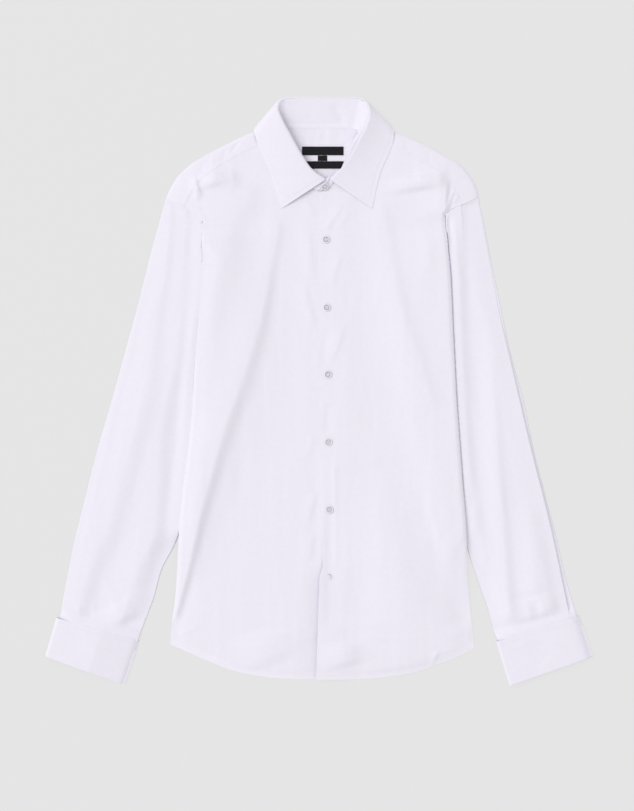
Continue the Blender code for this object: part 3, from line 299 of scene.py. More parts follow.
# ---- the collar, the buttons and the labels ----
# A leaf edge that lies under the collar has no rest on the body
UNDER = None
COLLAR_ROWS = (
    ("apex_x", "apex_y", "apex_z", "turn", "edge_x", "edge_y", "edge_z", "seam_x", "seam_y", "crown"),
    (7.0, 294.3, 17.0, 0, -53, 255.5, 0.8, -2.5, 281.0, 1.6),
    (-4, 301, 18.5, 0, -59, 274, 0.6, -17.5, 288.7, 1.2),
    (-15.5, 311, 20.0, 0, -64, 292, 0.5, -31, 300, 0.8),
    (-24.6, 324.5, 21.5, 0, -69, 304.5, 0.5, -42, 312, 0.8),
    (-32.8, 338, 22.5, 0, -73, 314.5, 0.5, -51, 324.5, 0.8),
    (-40.6, 352, 23.0, 0, -77, 324, 0.5, -59, 337.3, 0.8),
    (-48.2, 366, 23.0, 0, -82, 335, 0.5, -65.6, 348, 1.0),
    (-55.6, 380, 22.0, 5, -86.0, 345, 0.6, -70, 358, 1.4),
    (-60.6, 393, 18.5, 20, -89.3, 356.5, 1.0, -71.5, 365, 2.0),
    (-58, 404.7, 11.5, 45, -91.3, 367.0, UNDER, -67, 367.6, 1.0),
    (-48.3, 410.9, 5.5, 80, -75, 375.5, UNDER, -53.9, 367.6, 0.0),
    (-31.5, 411.7, 4.0, 90, -39, 374.5, UNDER, -32.9, 367.6, 0.0),
    (0.7, 411.7, 3.7, 90, 0.7, 374.5, UNDER, 0.7, 367.5, 0.0),
    (33, 411.7, 3.7, 90, 43, 374.5, UNDER, 28.7, 367.5, 0.0),
    (56.7, 410.9, 5.0, 80, 80, 375, UNDER, 47, 367.5, 0.0),
    (66.5, 403, 11.5, 45, 101.5, 369, UNDER, 53.5, 365, 1.0),
    (70.5, 392, 17.5, 20, 103.6, 356.3, 1.0, 54.5, 360.5, -0.6),
    (70, 380, 20.0, 5, 102, 346, 0.8, 51.5, 354, -1.4),
    (65, 366, 21.0, 0, 98.5, 336.5, 0.8, 46.2, 347, -2.0),
    (58, 353.5, 21.0, 0, 94.5, 327.5, 0.8, 41.3, 338.5, -2.2),
    (52.5, 342.3, 20.5, 0, 90.3, 318.5, 0.8, 37.8, 330, -2.0),
    (45.5, 329.7, 20.0, 0, 86, 308, 0.8, 34.8, 321, -1.8),
    (38.5, 318.5, 19.5, 0, 82.5, 296, 0.8, 30.8, 312, -1.6),
    (30, 308.5, 19.0, 0, 79, 282, 0.8, 25.2, 302, -1.4),
    (23, 301, 18.5, 0, 76.3, 268, 0.8, 19.6, 292.5, -1.4),
    (16.1, 294.5, 18.0, 0, 73.5, 255.5, 0.8, 14, 285.5, -1.4),
)
CONTOUR_EDGE_Z = 3.6
UNDER_EDGE_Z = 0.6
# The stand's ends: the top's place, then the foot's place in plan
BAND_ENDS = {"right": (14.5, 300.5, 11.2, 8.7, 286.0), "left": (9.8, 291, 12.4, -0.7, 279.5)}
BUTTON_PLACES = {"button_1": (9, 212), "button_2": (10.2, 117.2), "button_3": (11.7, 23.8),
                 "button_4": (12.3, -70.7), "button_5": (13.7, -164.9), "button_6": (13.3, -258.9)}
COLLAR_BUTTON = (7.2, 286.2)
# Each label: its middle, its width and height in plan, and its thickness
LABELS = {"label_main": (4.6, 336.3, 58, 12.1, 1.0), "label_size_tab": (4.2, 326.05, 13, 7.6, 1.0),
          "label_lower": (4.6, 316.7, 58, 10.4, 1.0)}

# The picture: its scale, the place of its middle on the floor, and the camera's height
PICTURE_HEIGHT_PX = 811
MM_PER_PX = 1.40
PICTURE_MIDDLE = (-3.5, -19.6)
CAMERA_HEIGHT = 2400.0
SENSOR_HEIGHT = 24.0

# The soft box, in metres and watts, and where its light goes
SOFT_BOX_DISTANCE = 16.0
SOFT_BOX_SIZE = 11.3
SOFT_BOX_WATTS = 1000.0
LIGHT_DIRECTION = (1.0, -0.30, -1.15)
AIR_LIGHT = 0.765

# Colours, linear
SHIRT_WHITE = (0.829, 0.804, 0.893)
DOUBLE_WHITE = (0.85, 0.826, 0.91)
# A darker copy of the shirting: painted shade on the right cuff's half towards its open end
CUFF_SHADE_WHITE = (0.815, 0.789, 0.878)
THREAD_WHITE = (0.80, 0.78, 0.86)
LABEL_BLACK = (0.010, 0.010, 0.012)
LABEL_DARK = (0.006, 0.006, 0.008)
LABEL_LIGHT = (0.020, 0.020, 0.024)
FLOOR_GREY = (0.11, 0.11, 0.11)
FLOOR_GLOW = 0.673
PEARL_LIGHT = (0.86, 0.85, 0.90)
PEARL_SOFT = (0.72, 0.71, 0.76)
# The painted shade of the ring in the buttons' recess, darker and lighter
PEARL_SHADE_DARK = (0.29, 0.27, 0.34)
PEARL_SHADE_GREY = (0.36, 0.35, 0.40)

# The pearl's ring of painted shade in the recess around the middle: places as shares of the button's radius,
# and how dark it is there
SHADE_RING_STOPS = ((0.46, 0), (0.54, 1), (0.62, 1), (0.73, 0))

# One stitch: its corners as shares of length, width and height, and its faces
STITCH_CORNERS = np.array([(-0.5, -0.5, 0), (-0.5, 0.5, 0), (-0.28, -0.4, 1), (-0.28, 0.4, 1),
                           (0.28, -0.4, 1), (0.28, 0.4, 1), (0.5, -0.5, 0), (0.5, 0.5, 0)])
STITCH_FACES = np.array([(0, 2, 3, 1), (2, 4, 5, 3), (4, 6, 7, 5), (0, 1, 7, 6), (0, 6, 4, 2), (1, 3, 5, 7)])


# ---- curves, distances and small relief ----

def smooth(q):
    """Rises softly from 0 to 1 while q does, and stays there."""
    q = np.clip(q, 0.0, 1.0)
    return q * q * (3 - 2 * q)


def ramp(value, start, end):
    """Rises smoothly from 0 at the start to 1 at the end."""
    return smooth((value - start) / (end - start))


def rounded(q):
    """A quarter of a circle, steep at 0 and level at 1."""
    return np.sqrt(1 - (1 - np.clip(q, 0.0, 1.0)) ** 2)


def edge_drop(distance, width):
    """1 on a rounded edge, and 0 from its width inwards."""
    return 1 - rounded(distance / width)


def bell(q):
    """A bump that is 1 in its middle and has gone at 2."""
    return np.exp(-(q ** 2))


def unit(vectors):
    return vectors / np.maximum(np.linalg.norm(vectors, axis=-1, keepdims=True), 1e-9)


def run_along(points, axis=0):
    """Distances from the first point, along one direction of a line or a grid."""
    steps = np.linalg.norm(np.diff(points, axis=axis), axis=-1)
    return np.insert(np.cumsum(steps, axis=axis), 0, 0.0, axis=axis)


def sample(at, run, table):
    """The rows of a table, read at places along its run."""
    return np.stack([np.interp(at, run, column) for column in table.T], axis=-1)


def cubic(t, span, a, b, slope_a, slope_b):
    """The smooth curve from a to b with the given slopes."""
    return ((2 * t**3 - 3 * t**2 + 1) * a + (t**3 - 2 * t**2 + t) * span * slope_a
            + (3 * t**2 - 2 * t**3) * b + (t**3 - t**2) * span * slope_b)


def smooth_path(points, per_span=12):
    points = np.array(points, float)
    if len(points) < 3:
        return points
    knots = run_along(points)
    slopes = np.gradient(points, knots, axis=0)
    t = np.linspace(0, 1, per_span, endpoint=False)[:, None]
    dense = [cubic(t, knots[i + 1] - knots[i], points[i], points[i + 1], slopes[i], slopes[i + 1])
             for i in range(len(points) - 1)]
    return np.vstack([*dense, points[-1:]])


def spread(line, fractions):
    """Points at fractions of a line's length."""
    run = run_along(line)
    return sample(np.asarray(fractions, float) * run[-1], run, line)


def along(points, fractions):
    return spread(smooth_path(points), fractions)


def nearest_on(x, y, path):
    """Distance to a path, how far along it that is, and which hand of the path the point is on."""
    path = np.asarray(path, float)
    best, where, hand = np.full(np.shape(x), np.inf), np.zeros(np.shape(x)), np.zeros(np.shape(x))
    count = len(path) - 1
    for i in range(count):
        ax, ay = path[i]
        dx, dy = path[i + 1] - path[i]
        t = np.clip(((x - ax) * dx + (y - ay) * dy) / max(dx * dx + dy * dy, 1e-9), 0, 1)
        d = np.hypot(x - ax - t * dx, y - ay - t * dy)
        closer = d < best
        best = np.where(closer, d, best)
        where = np.where(closer, (i + t) / count, where)
        hand = np.where(closer, np.sign(dx * (y - ay) - dy * (x - ax)), hand)
    return best, where, hand


def distance_to(x, y, path):
    return nearest_on(x, y, path)[0]


def inside(x, y, loop):
    loop = np.asarray(loop, float)
    result = np.zeros(np.shape(x), bool)
    for (ax, ay), (bx, by) in zip(loop, np.roll(loop, -1, axis=0)):
        if ay != by:
            result ^= ((ay > y) != (by > y)) & (x < (bx - ax) * (y - ay) / (by - ay) + ax)
    return result


def distance_to_area(x, y, loop):
    closed = np.vstack([loop, loop[:1]])
    return np.where(inside(x, y, loop), 0.0, distance_to(x, y, closed))


def fold_height(x, y, folds):
    """Sum of ridges and troughs that fade towards both ends of their paths."""
    total = np.zeros(np.shape(x))
    for _, lit, shade, height, path in folds:
        points = smooth_path(path, 3)
        reach = 2.6 * max(np.max(lit), np.max(shade))
        near = ((x > points[:, 0].min() - reach) & (x < points[:, 0].max() + reach)
                & (y > points[:, 1].min() - reach) & (y < points[:, 1].max() + reach))
        if not near.any():
            continue
        d, where, hand = nearest_on(x[near], y[near], points)

        def level(values):
            values = np.atleast_1d(values)
            return np.interp(where, np.linspace(0, 1, len(values)), values)

        # The two widths cross over softly, so that the crest has no kink
        side = smooth(0.5 + hand * d / CREST_WIDTH)
        width = level(lit) + (level(shade) - level(lit)) * side
        share = min(0.3, FADE / run_along(points)[-1])
        fade = smooth(where / share) * smooth((1 - where) / share)
        total[near] += level(height) * fade * bell(d / width)
    return total


def soft_noise(x, y, size, seed):
    """Smooth uneven relief between -1 and 1 with bumps of about the given size."""
    lattice = np.random.default_rng(seed).uniform(-1, 1, (64, 64))
    u, v = x / size + 31.3, y / size + 17.9
    i, j = np.floor(u).astype(int), np.floor(v).astype(int)
    s, t = smooth(u - i), smooth(v - j)

    def row(b):
        return lattice[i % 64, b % 64] * (1 - s) + lattice[(i + 1) % 64, b % 64] * s

    return row(j) * (1 - t) + row(j + 1) * t


def unevenness(x, y, seed, lean=0.0):
    """The small relief of washed and ironed cloth: long streaks down the garment, which may lean."""
    x = x - lean * y
    return (0.26 * soft_noise(x, y * 0.13, 15, seed) + 0.13 * soft_noise(x, y * 0.16, 7, seed + 1)
            + 0.05 * soft_noise(x, y * 0.5, 5, seed + 2))


def pucker(x, y, from_seam):
    """Small uneven gathers beside a sewn seam."""
    return 0.24 * soft_noise(x, y, 4.5, 71) * bell(from_seam / 6)


def patch(bottom, top, first, last, us, vs):
    """A grid of points between four border lines."""
    u, v = us[:, None, None], vs[None, :, None]
    corners = (1 - v) * ((1 - u) * bottom[0] + u * bottom[-1]) + v * ((1 - u) * top[0] + u * top[-1])
    return (1 - v) * bottom[:, None] + v * top[:, None] + (1 - u) * first[None] + u * last[None] - corners


SIDE_PATHS = {s: smooth_path(SIDES[s]["side"], 6) for s in SIDES}
ARM_PATHS = {s: smooth_path(SIDES[s]["armhole"], 6) for s in SIDES}
YOKE_ENDS = {s: along(SIDES[s]["armhole"], [YOKE_ON_ARMHOLE[s]])[0] for s in SIDES}
HEM_PATH = smooth_path(HEM, 4)
BODY_LOOP = np.vstack([smooth_path(SIDES["right"]["side"], 4), smooth_path(SIDES["left"]["side"], 4)[::-1]])


def tucked_loop(side):
    """The outline of the part of a sleeve that lies under the front."""
    inner = smooth_path(SIDES[side]["inner"], 4)
    under = inner[inside(inner[:, 0], inner[:, 1], BODY_LOOP) & (inner[:, 1] < TUCK_STARTS[side] + 2)]
    edge = smooth_path(SIDES[side]["side"], 4)
    edge = edge[(edge[:, 1] > under[:, 1].min()) & (edge[:, 1] < under[:, 1].max())]
    return np.vstack([under, edge])


TUCKED = {side: tucked_loop(side) for side in SIDES}


def on_hem(x, raised=0.0):
    hem = smooth_path(HEM)
    return np.stack([x, np.interp(x, hem[:, 0], hem[:, 1]) + raised], axis=-1)


def back_yoke_seam(across):
    seam = YOKE_ENDS["right"] + across[:, None] * (YOKE_ENDS["left"] - YOKE_ENDS["right"])
    seam[:, 1] += BACK_YOKE_SAG * np.sin(math.pi * across)
    return seam


def back_bottom(x, y, fall=TUCK_RAMP):
    """The back's underside, which lies on the arms tucked under the sides."""
    raised = np.zeros(np.shape(x))
    for side, loop in TUCKED.items():
        near = ramp(distance_to_area(x, y, loop), 4 + fall, 4)
        below_start = ramp(y, TUCK_STARTS[side] + 19, TUCK_STARTS[side] + 1)
        raised = np.maximum(raised, near * (SLEEVE_FLAT + TUCK_CLEAR) * below_start)
    return raised


def front_bottom(x, y):
    """The fronts' underside, which falls softly from the arms tucked under the sides."""
    to_side = np.minimum(*(distance_to(x, y, path) for path in SIDE_PATHS.values()))
    to_hem = distance_to(x, y, HEM_PATH)
    on_right = x < 0
    underarm = ramp(y, 185, 215)
    # Below the left sleeve the side is free, and it falls more softly
    free = ramp(y, -195, -245)
    at_side = np.where(on_right, rounded(to_side / 7), ramp(to_side, -1.5, 5.5))
    at_hem = ramp(to_hem, -6, 16)
    folds = fold_height(x, y, FRONT_FOLDS) * at_hem * at_side
    swell = fold_height(x, y, SHARED_FOLDS) * at_hem
    # The right edge lies on the sleeve, sharper at the underarm; the left one is round
    right_rise = 0.55 + 0.45 * smooth(to_side / (24 - 23.2 * underarm))
    left_round = SIDE_ROUND - 1.5 * ramp(y, 185, 210)
    left_rise = rounded(to_side / left_round) * (1 - free) + (0.35 + 0.65 * ramp(to_side, 0, 30)) * free
    low = HEM_LIFT + (FRONT_LIFT - HEM_LIFT) * ramp(to_hem, 0, 45)
    low = low * np.where(on_right, right_rise, left_rise) * ramp(to_hem, -3, 11)
    # Inwards of its edges the front lies on the back, with the layers between
    reach = np.where(on_right, 30 - 28 * underarm, 6 + 28 * free)
    edge = EDGE_LEVEL - WALL
    stack = edge + (FRONT_BASE - edge) * np.minimum(smooth(to_side / reach), ramp(to_hem, 0, 16))
    raised = np.maximum(back_bottom(x, y, FRONT_RAMP) + low + folds, back_bottom(x, y) + 0.1)
    return raised + stack + swell


def left_front_rise(x):
    """How much the left front's double placket lies over the right front."""
    return PLACKET_RISE * ramp(x, BUTTON_STAND + 36, BUTTON_STAND + 8) * (x > -8)


def top_of_body(x, y):
    """The height of the fronts' upper face."""
    x, y = np.atleast_1d(np.asarray(x, float)), np.atleast_1d(np.asarray(y, float))
    return front_bottom(x, y) + left_front_rise(x) + WALL


# ---- meshes ----

def grid_mesh(name, grid, flip=False, keep=None, loop=False):
    """An object on a grid of points in millimetres; loop closes the grid's second direction."""
    columns, rows = grid.shape[:2]
    index = np.arange(columns * rows).reshape(columns, rows)
    after = np.roll(index, -1, axis=1) if loop else index[:, 1:]
    here = index if loop else index[:, :-1]
    quads = np.stack([here[:-1], here[1:], after[1:], after[:-1]], axis=-1)
    if keep is not None:
        quads = quads[keep]
    quads = quads.reshape(-1, 4)
    if flip:
        quads = quads[:, ::-1]
    used, renumbered = np.unique(quads, return_inverse=True)
    return raw_mesh(name, grid.reshape(-1, 3)[used], renumbered.reshape(-1, 4))


def raw_mesh(name, points, quads):
    mesh = bpy.data.meshes.new(name)
    mesh.vertices.add(len(points))
    mesh.vertices.foreach_set("co", (np.asarray(points) * MM).astype(np.float32).ravel())
    mesh.loops.add(quads.size)
    mesh.loops.foreach_set("vertex_index", quads.astype(np.int32).ravel())
    mesh.polygons.add(len(quads))
    mesh.polygons.foreach_set("loop_start", np.arange(0, quads.size, quads.shape[1], dtype=np.int32))
    mesh.update(calc_edges=True)
    mesh.shade_smooth()
    obj = bpy.data.objects.new(name, mesh)
    bpy.context.scene.collection.objects.link(obj)
    return obj


def second_cloth(obj, mask, material):
    """Gives some faces of a grid another cloth."""
    obj.data.materials.append(material)
    obj.data.polygons.foreach_set("material_index", np.ravel(mask).astype(np.int32))


def thicken(obj, wall, offset=-1.0):
    # The borders are marked sharp, so that the face's shading doesn't turn with the rim
    mesh = obj.data
    used = np.empty(len(mesh.loops), np.int32)
    mesh.loops.foreach_get("edge_index", used)
    border = np.bincount(used, minlength=len(mesh.edges)) == 1
    mesh.attributes.new("sharp_edge", "BOOLEAN", "EDGE").data.foreach_set("value", border)
    solid = obj.modifiers.new("cloth", "SOLIDIFY")
    solid.thickness = wall * MM
    solid.offset = offset
    solid.use_even_offset = False


def dress(obj, material, node=None):
    obj.data.materials.append(material)
    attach(obj, "root")
    if node:
        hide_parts(node)


def cloth(node, grid, wall, offset=-1.0, **mesh_options):
    """A shell of shirting on a grid, which takes the place of a solid."""
    obj = grid_mesh(f"cloth_{node.removesuffix('_panel')}", grid, **mesh_options)
    thicken(obj, wall, offset)
    dress(obj, SHIRTING, node)
    return obj


def normals_of(grid):
    return unit(np.cross(np.gradient(grid, axis=0), np.gradient(grid, axis=1)))


def step_in(grid, border, distance):
    """A line on a grid at a distance from one of its borders, with the grid's normals there."""
    turned = 1
    if border[0] == "u":
        grid = grid.transpose(1, 0, 2)
        turned = -1
    normal = normals_of(grid) * turned
    if border[1] == "1":
        grid, normal = grid[:, ::-1], normal[:, ::-1]
    runs = run_along(grid, 1)
    line, up = (np.array([sample(distance, run, row) for run, row in zip(runs, table)])
                for table in (grid, normal))
    return line, up


def facing_up(lines):
    return [(line, np.where(up[:, 2:] < 0, -up, up)) for line, up in lines]


def stitches(name, lines):
    """Rows of small sewn stitches along lines of (points, normals), as one mesh."""
    blocks = []
    sizes = STITCH_CORNERS * [STITCH_LENGTH, STITCH_WIDTH, STITCH_HEIGHT] - [0, 0, STITCH_SUNK]
    for line, up in lines:
        run = run_along(line)
        for at in np.arange(STITCH_PITCH / 2, run[-1], STITCH_PITCH * FINE):
            behind, middle, ahead = sample([at - 0.6, at, at + 0.6], run, line)
            normal = unit(sample(at, run, up))
            forward = unit(ahead - behind)
            blocks.append(middle + sizes @ np.array([forward, np.cross(normal, forward), normal]))
    faces = [STITCH_FACES + len(STITCH_CORNERS) * i for i in range(len(blocks))]
    obj = raw_mesh(name, np.vstack(blocks), np.vstack(faces))
    dress(obj, THREAD)
    return obj


# ---- materials ----

def add_node(tree, kind, values=(), sources=(), **settings):
    """A shader node with its settings, the values of its inputs and the outputs that feed it."""
    node = tree.nodes.new("ShaderNode" + kind)
    for name, value in settings.items():
        setattr(node, name, value)
    for name, value in dict(values).items():
        node.inputs[name].default_value = value
    for name, output in dict(sources).items():
        tree.links.new(output, node.inputs[name])
    return node


def noise(tree, place, scale, detail=2.0, distortion=0.0):
    values = {"Scale": scale, "Detail": detail, "Distortion": distortion}
    return add_node(tree, "TexNoise", values, {"Vector": place} if place else ()).outputs["Fac"]


def bump(tree, height, strength, depth, under=None):
    """A bump of a depth in millimetres, over another one where that is given."""
    sources = {"Height": height, "Normal": under} if under else {"Height": height}
    return add_node(tree, "Bump", {"Strength": strength, "Distance": depth * MM}, sources).outputs["Normal"]


def mix(tree, share, first, second):
    """Two colours mixed; the first may be another node's output."""
    values, sources = {"Color2": (*second, 1)}, {"Fac": share}
    if isinstance(first, tuple):
        values["Color1"] = (*first, 1)
    else:
        sources["Color1"] = first
    return add_node(tree, "MixRGB", values, sources).outputs["Color"]


def weave(tree, place, thread, strength, under=None):
    """Over-and-under threads along X and Y as a bump."""
    values = {"Scale": 50 / thread, "Distortion": 0.6, "Detail": 1.0}
    waves = [add_node(tree, "TexWave", values, {"Vector": place}, wave_type="BANDS", bands_direction=axis)
             for axis in "XY"]
    sources = {i: wave.outputs["Fac"] for i, wave in enumerate(waves)}
    crossing = add_node(tree, "Math", (), sources, operation="MULTIPLY")
    return bump(tree, crossing.outputs[0], strength, 0.05, under)


def material_of(name, values):
    """A material with its node tree and its shader."""
    material = bpy.data.materials.new(name)
    material.use_nodes = True
    tree = material.node_tree
    shader = tree.nodes["Principled BSDF"]
    for key, value in values.items():
        shader.inputs[key].default_value = value
    return material, tree, shader


def own_place(tree):
    """The object's own coordinates."""
    return add_node(tree, "TexCoord").outputs["Object"]


def feed(tree, shader, **sources):
    """Links outputs to the shader's inputs. An underscore in a name stands for a space."""
    for name, output in sources.items():
        tree.links.new(output, shader.inputs[name.replace("_", " ")])


def cloth_material(name, base):
    material, tree, shader = material_of(name, {
        "Base Color": (*base, 1), "Roughness": 0.82, "Sheen Weight": 0.08, "Sheen Roughness": 0.5,
        "Specular IOR Level": 0.25})
    place = own_place(tree)
    darker, lighter = (tuple(np.minimum(level * np.array(base), 1)) for level in (0.975, 1.02))
    tint = mix(tree, noise(tree, place, 160, 5), darker, lighter)
    crumple = bump(tree, noise(tree, place, 55, 3), 0.15, 0.35)
    feed(tree, shader, Base_Color=tint, Normal=weave(tree, place, 0.42, 0.35, crumple))
    return material


def thread_material():
    material, tree, shader = material_of("sewing_thread", {
        "Base Color": (*THREAD_WHITE, 1), "Roughness": 0.6, "Specular IOR Level": 0.3})
    feed(tree, shader, Normal=weave(tree, own_place(tree), 0.2, 0.4))
    return material


def label_material():
    material, tree, shader = material_of("woven_label", {
        "Base Color": (*LABEL_BLACK, 1), "Roughness": 0.55, "Specular IOR Level": 0.08})
    place = own_place(tree)
    tint = mix(tree, noise(tree, place, 900), LABEL_DARK, LABEL_LIGHT)
    feed(tree, shader, Base_Color=tint, Normal=weave(tree, place, 0.3, 0.6))
    return material


def pearl_material(name, shade_colour):
    """Pearl whose colour clouds, with a ring of painted shade in the recess around the middle."""
    material, tree, shader = material_of(name, {
        "Base Color": (*PEARL_LIGHT, 1), "Roughness": 0.3, "Coat Weight": 0.4, "Coat Roughness": 0.1})
    place = own_place(tree)
    cloud = noise(tree, place, 320, 3, 1.5)
    flat = add_node(tree, "VectorMath", {1: (1, 1, 0)}, {0: place}, operation="MULTIPLY")
    radius = add_node(tree, "VectorMath", (), {0: flat.outputs["Vector"]}, operation="LENGTH")
    inverse = 1 / (BUTTON_RADIUS * MM)
    share = add_node(tree, "Math", {1: inverse}, {0: radius.outputs["Value"]}, operation="MULTIPLY")
    # The colour ramp paints shade in a ring around the middle
    ring = add_node(tree, "ValToRGB", (), {"Fac": share.outputs["Value"]})
    stops = ring.color_ramp.elements
    for i, (at, level) in enumerate(SHADE_RING_STOPS):
        # A new ramp has two stops
        stop = stops[i] if i < 2 else stops.new(at)
        stop.position = at
        stop.color = (level, level, level, 1)
    whole = mix(tree, ring.outputs["Color"], mix(tree, cloud, PEARL_LIGHT, PEARL_SOFT), shade_colour)
    feed(tree, shader, Base_Color=whole, Normal=bump(tree, cloud, 0.15, 0.1))
    return material


SHIRTING = cloth_material("shirting_cotton", SHIRT_WHITE)
SHIRTING_DOUBLE = cloth_material("shirting_cotton_double", DOUBLE_WHITE)
# The third cloth is painted shade, a darker copy of the shirting for the right cuff
SHIRTING_PAINTED_SHADE = cloth_material("shirting_cotton_painted_shade", CUFF_SHADE_WHITE)
THREAD = thread_material()
LABEL = label_material()
# Both pearls have a ring of painted shade; in the second one it is lighter
PEARL = pearl_material("pearl_button", PEARL_SHADE_DARK)
PEARL_LIGHTER_SHADE = pearl_material("pearl_button_lighter_shade", PEARL_SHADE_GREY)


# ---- collar rows, needed by the fronts' neck edges ----

def collar_rows():
    names, *rows = COLLAR_ROWS
    values = {name: [row[i] for row in rows] for i, name in enumerate(names)}

    def columns(*chosen):
        return np.array([values[name] for name in chosen], float).T

    apex = columns("apex_x", "apex_y", "apex_z")
    apex[:, 2] *= [*COLLAR_SETTLED["right"], *COLLAR_SETTLED["left"][::-1]]
    run = np.gradient(apex[:, :2], axis=0)
    outward = unit(np.stack([-run[:, 1], run[:, 0]], axis=-1))
    return dict(apex=apex, outward=outward, turn=np.radians(values["turn"]), edge=columns("edge_x", "edge_y"),
                edge_rest=values["edge_z"], seam=columns("seam_x", "seam_y"), crown=values["crown"])


ROWS = collar_rows()


def neck_edge(side, lap):
    """The collar's seam on one side, set inwards by the lap, from the back to the front."""
    edge = ROWS["seam"] - lap * ROWS["outward"]
    middle = len(edge) // 2
    return edge[:middle][::-1] if side == "right" else edge[middle:]


# ---- body ----

def front_plan(side):
    """A front's grid in plan, from the side to the free edge and the hem up, and its lines below the yoke."""
    edges = SIDES[side]
    placket = smooth_path(PLACKET_EDGE)
    if side == "right":
        free = placket + [BUTTON_STAND, 0]
        neck = neck_edge(side, 2.0)
        neck = np.vstack([neck[neck[:, 1] < NECK_TOPS[side]], BUTTON_STAND_NECK])
    else:
        free = placket
        neck = neck_edge(side, 0.2)
        neck = np.vstack([neck[neck[:, 1] < NECK_TOPS[side]], placket[-1] + [8, 1.5], placket[-1]])
    shoulder_columns, neck_columns, rows, arm_rows = 78 // FINE, 46 // FINE, 270 // FINE, 32 // FINE
    grade = np.linspace(0, 1, shoulder_columns + 1) ** 1.25
    us = np.concatenate([ON_SHOULDER * grade, np.linspace(ON_SHOULDER, 1, neck_columns + 1)[1:]])
    vs = np.concatenate([np.linspace(0, BELOW_ARM, rows + 1), np.linspace(BELOW_ARM, 1, arm_rows + 1)[1:]])
    seam = along(edges["yoke_seam"][::-1], grade)
    seam[0] = YOKE_ENDS[side]
    top = np.vstack([seam, along(np.vstack([seam[-1:], neck]), np.linspace(0, 1, neck_columns + 1))[1:]])
    free = np.vstack([free[free[:, 1] < top[-1, 1] - 2], top[-1:]])
    side_x = edges["side"][0][0]
    bottom = on_hem(side_x + us * (free[0, 0] - side_x))
    free[0] = bottom[-1]
    armhole = along(edges["armhole"], np.linspace(0, YOKE_ON_ARMHOLE[side], arm_rows + 1)[1:])
    side_edge = np.vstack([along(edges["side"], np.linspace(0, 1, rows + 1)), armhole])
    return patch(bottom, top, side_edge, spread(free, vs), us, vs), us <= ON_SHOULDER


def front(side):
    left = side == "left"
    plan, on_yoke = front_plan(side)
    placket = smooth_path(PLACKET_EDGE)
    x, y = plan[..., 0], plan[..., 1]
    z = front_bottom(x, y) + WALL + (left_front_rise(x) if left else 0)
    calm = ramp(distance_to(x, y, HEM_PATH), 0, 14) * ramp(distance_to(x, y, SIDE_PATHS[side]), 0, 10)
    z += unevenness(x, y, 5) * (0.1 + 0.9 * calm)
    if not left:
        # At the underarm the front's edge lies over the sleeve's
        from_side = x - x[:1]
        here = ramp(y, 188, 202) * ramp(y, 250, 244)
        over_sleeve = 5.75 + fold_height(x, y, SHARED_FOLDS)
        z = np.maximum(z, over_sleeve * here * ramp(from_side, 9, 3))
        x = x - SIDE_OVERLAP * here * ramp(from_side, 6, 0) * ramp(y, 236, 233)
    to_free = x - np.interp(y, placket[:, 1], placket[:, 0])
    if left:
        # Low down the left front stands up at the placket and falls away from it
        z += 3.0 * ramp(y, -215, -275) * ramp(to_free, 60, 0)
        z -= 0.3 * edge_drop(to_free, 0.9)
    else:
        # The under front falls away beside the placket's edge, most of all low down
        sunk = 0.05 + 1.5 * ramp(y, -235, -280)
        z -= sunk * bell(np.minimum(to_free, 0) / (4 + 14 * ramp(y, -225, -265)))
    # The hem is double up to its stitches, with a fine groove along them
    to_hem = distance_to(x, y, HEM_PATH)
    z += 0.16 * ramp(to_hem, HEM_WIDTH + 0.6, HEM_WIDTH - 0.2) - 0.10 * bell(to_hem - HEM_WIDTH)
    # So is the armhole's seam, whose edge is rounded
    to_arm = distance_to(x, y, ARM_PATHS[side])
    z += 0.14 * ramp(to_arm, 9.5, 8.3) - 0.25 * edge_drop(to_arm, 1.0) + pucker(x, y, to_arm)
    grid = np.dstack([x, y, z])
    # One more row turns under the yoke's strip
    last = plan[:, -1]
    tuck = np.where(on_yoke[:, None], last + unit(last - plan[:, -4]) * TUCK_UNDER, last)
    tuck = np.column_stack([tuck, z[:, -1] - np.where(on_yoke, TUCK_DROP, 0.02)])
    obj = cloth(f"front_{side}", np.concatenate([grid, tuck[:, None]], axis=1), CLOTH, flip=left)
    second_cloth(obj, np.pad(to_hem[:-1, :-1] < HEM_WIDTH, ((0, 0), (0, 1))), SHIRTING_DOUBLE)
    arm_line, arm_up = step_in(grid, "u0", ARMHOLE_STITCH)
    keep = arm_line[:, 1] > SIDES[side]["armhole"][0][1] + 3
    sewn = [step_in(grid, "v0", HEM_WIDTH - 0.8), (arm_line[keep], arm_up[keep])]
    if left:
        sewn.append(step_in(grid, "u1", 1.6))
    thread = stitches(f"stitches_front_{side}", facing_up(sewn))


def back():
    us, vs = np.linspace(0, 1, 96 // FINE), np.linspace(0, 1, 150 // FINE)
    bottom = on_hem(BACK_HEM_ENDS[0] + us * (BACK_HEM_ENDS[1] - BACK_HEM_ENDS[0]), 1.5)
    top = back_yoke_seam(us)
    edge = {}
    for side, corner, end in (("right", bottom[0], top[0]), ("left", bottom[-1], top[-1])):
        line = np.vstack([smooth_path(SIDES[side]["side"], 8), smooth_path(SIDES[side]["armhole"], 8)])
        if side == "right":
            line[:, 0] += BACK_SET_IN * ramp(line[:, 1], -225, -205) * ramp(line[:, 1], 246, 236)
        cut = np.argmin(np.linalg.norm(line - end, axis=1))
        edge[side] = spread(np.vstack([corner, line[2:cut], end]), vs)
    plan = patch(bottom, top, edge["right"], edge["left"], us, vs)
    grid = np.dstack([plan, back_bottom(plan[..., 0], plan[..., 1]) + CLOTH + 0.02])
    obj = cloth("back_panel", grid, CLOTH)
    thread = stitches("stitches_back", [step_in(grid, "v0", HEM_WIDTH - 0.8), step_in(grid, "v1", 2.0)])


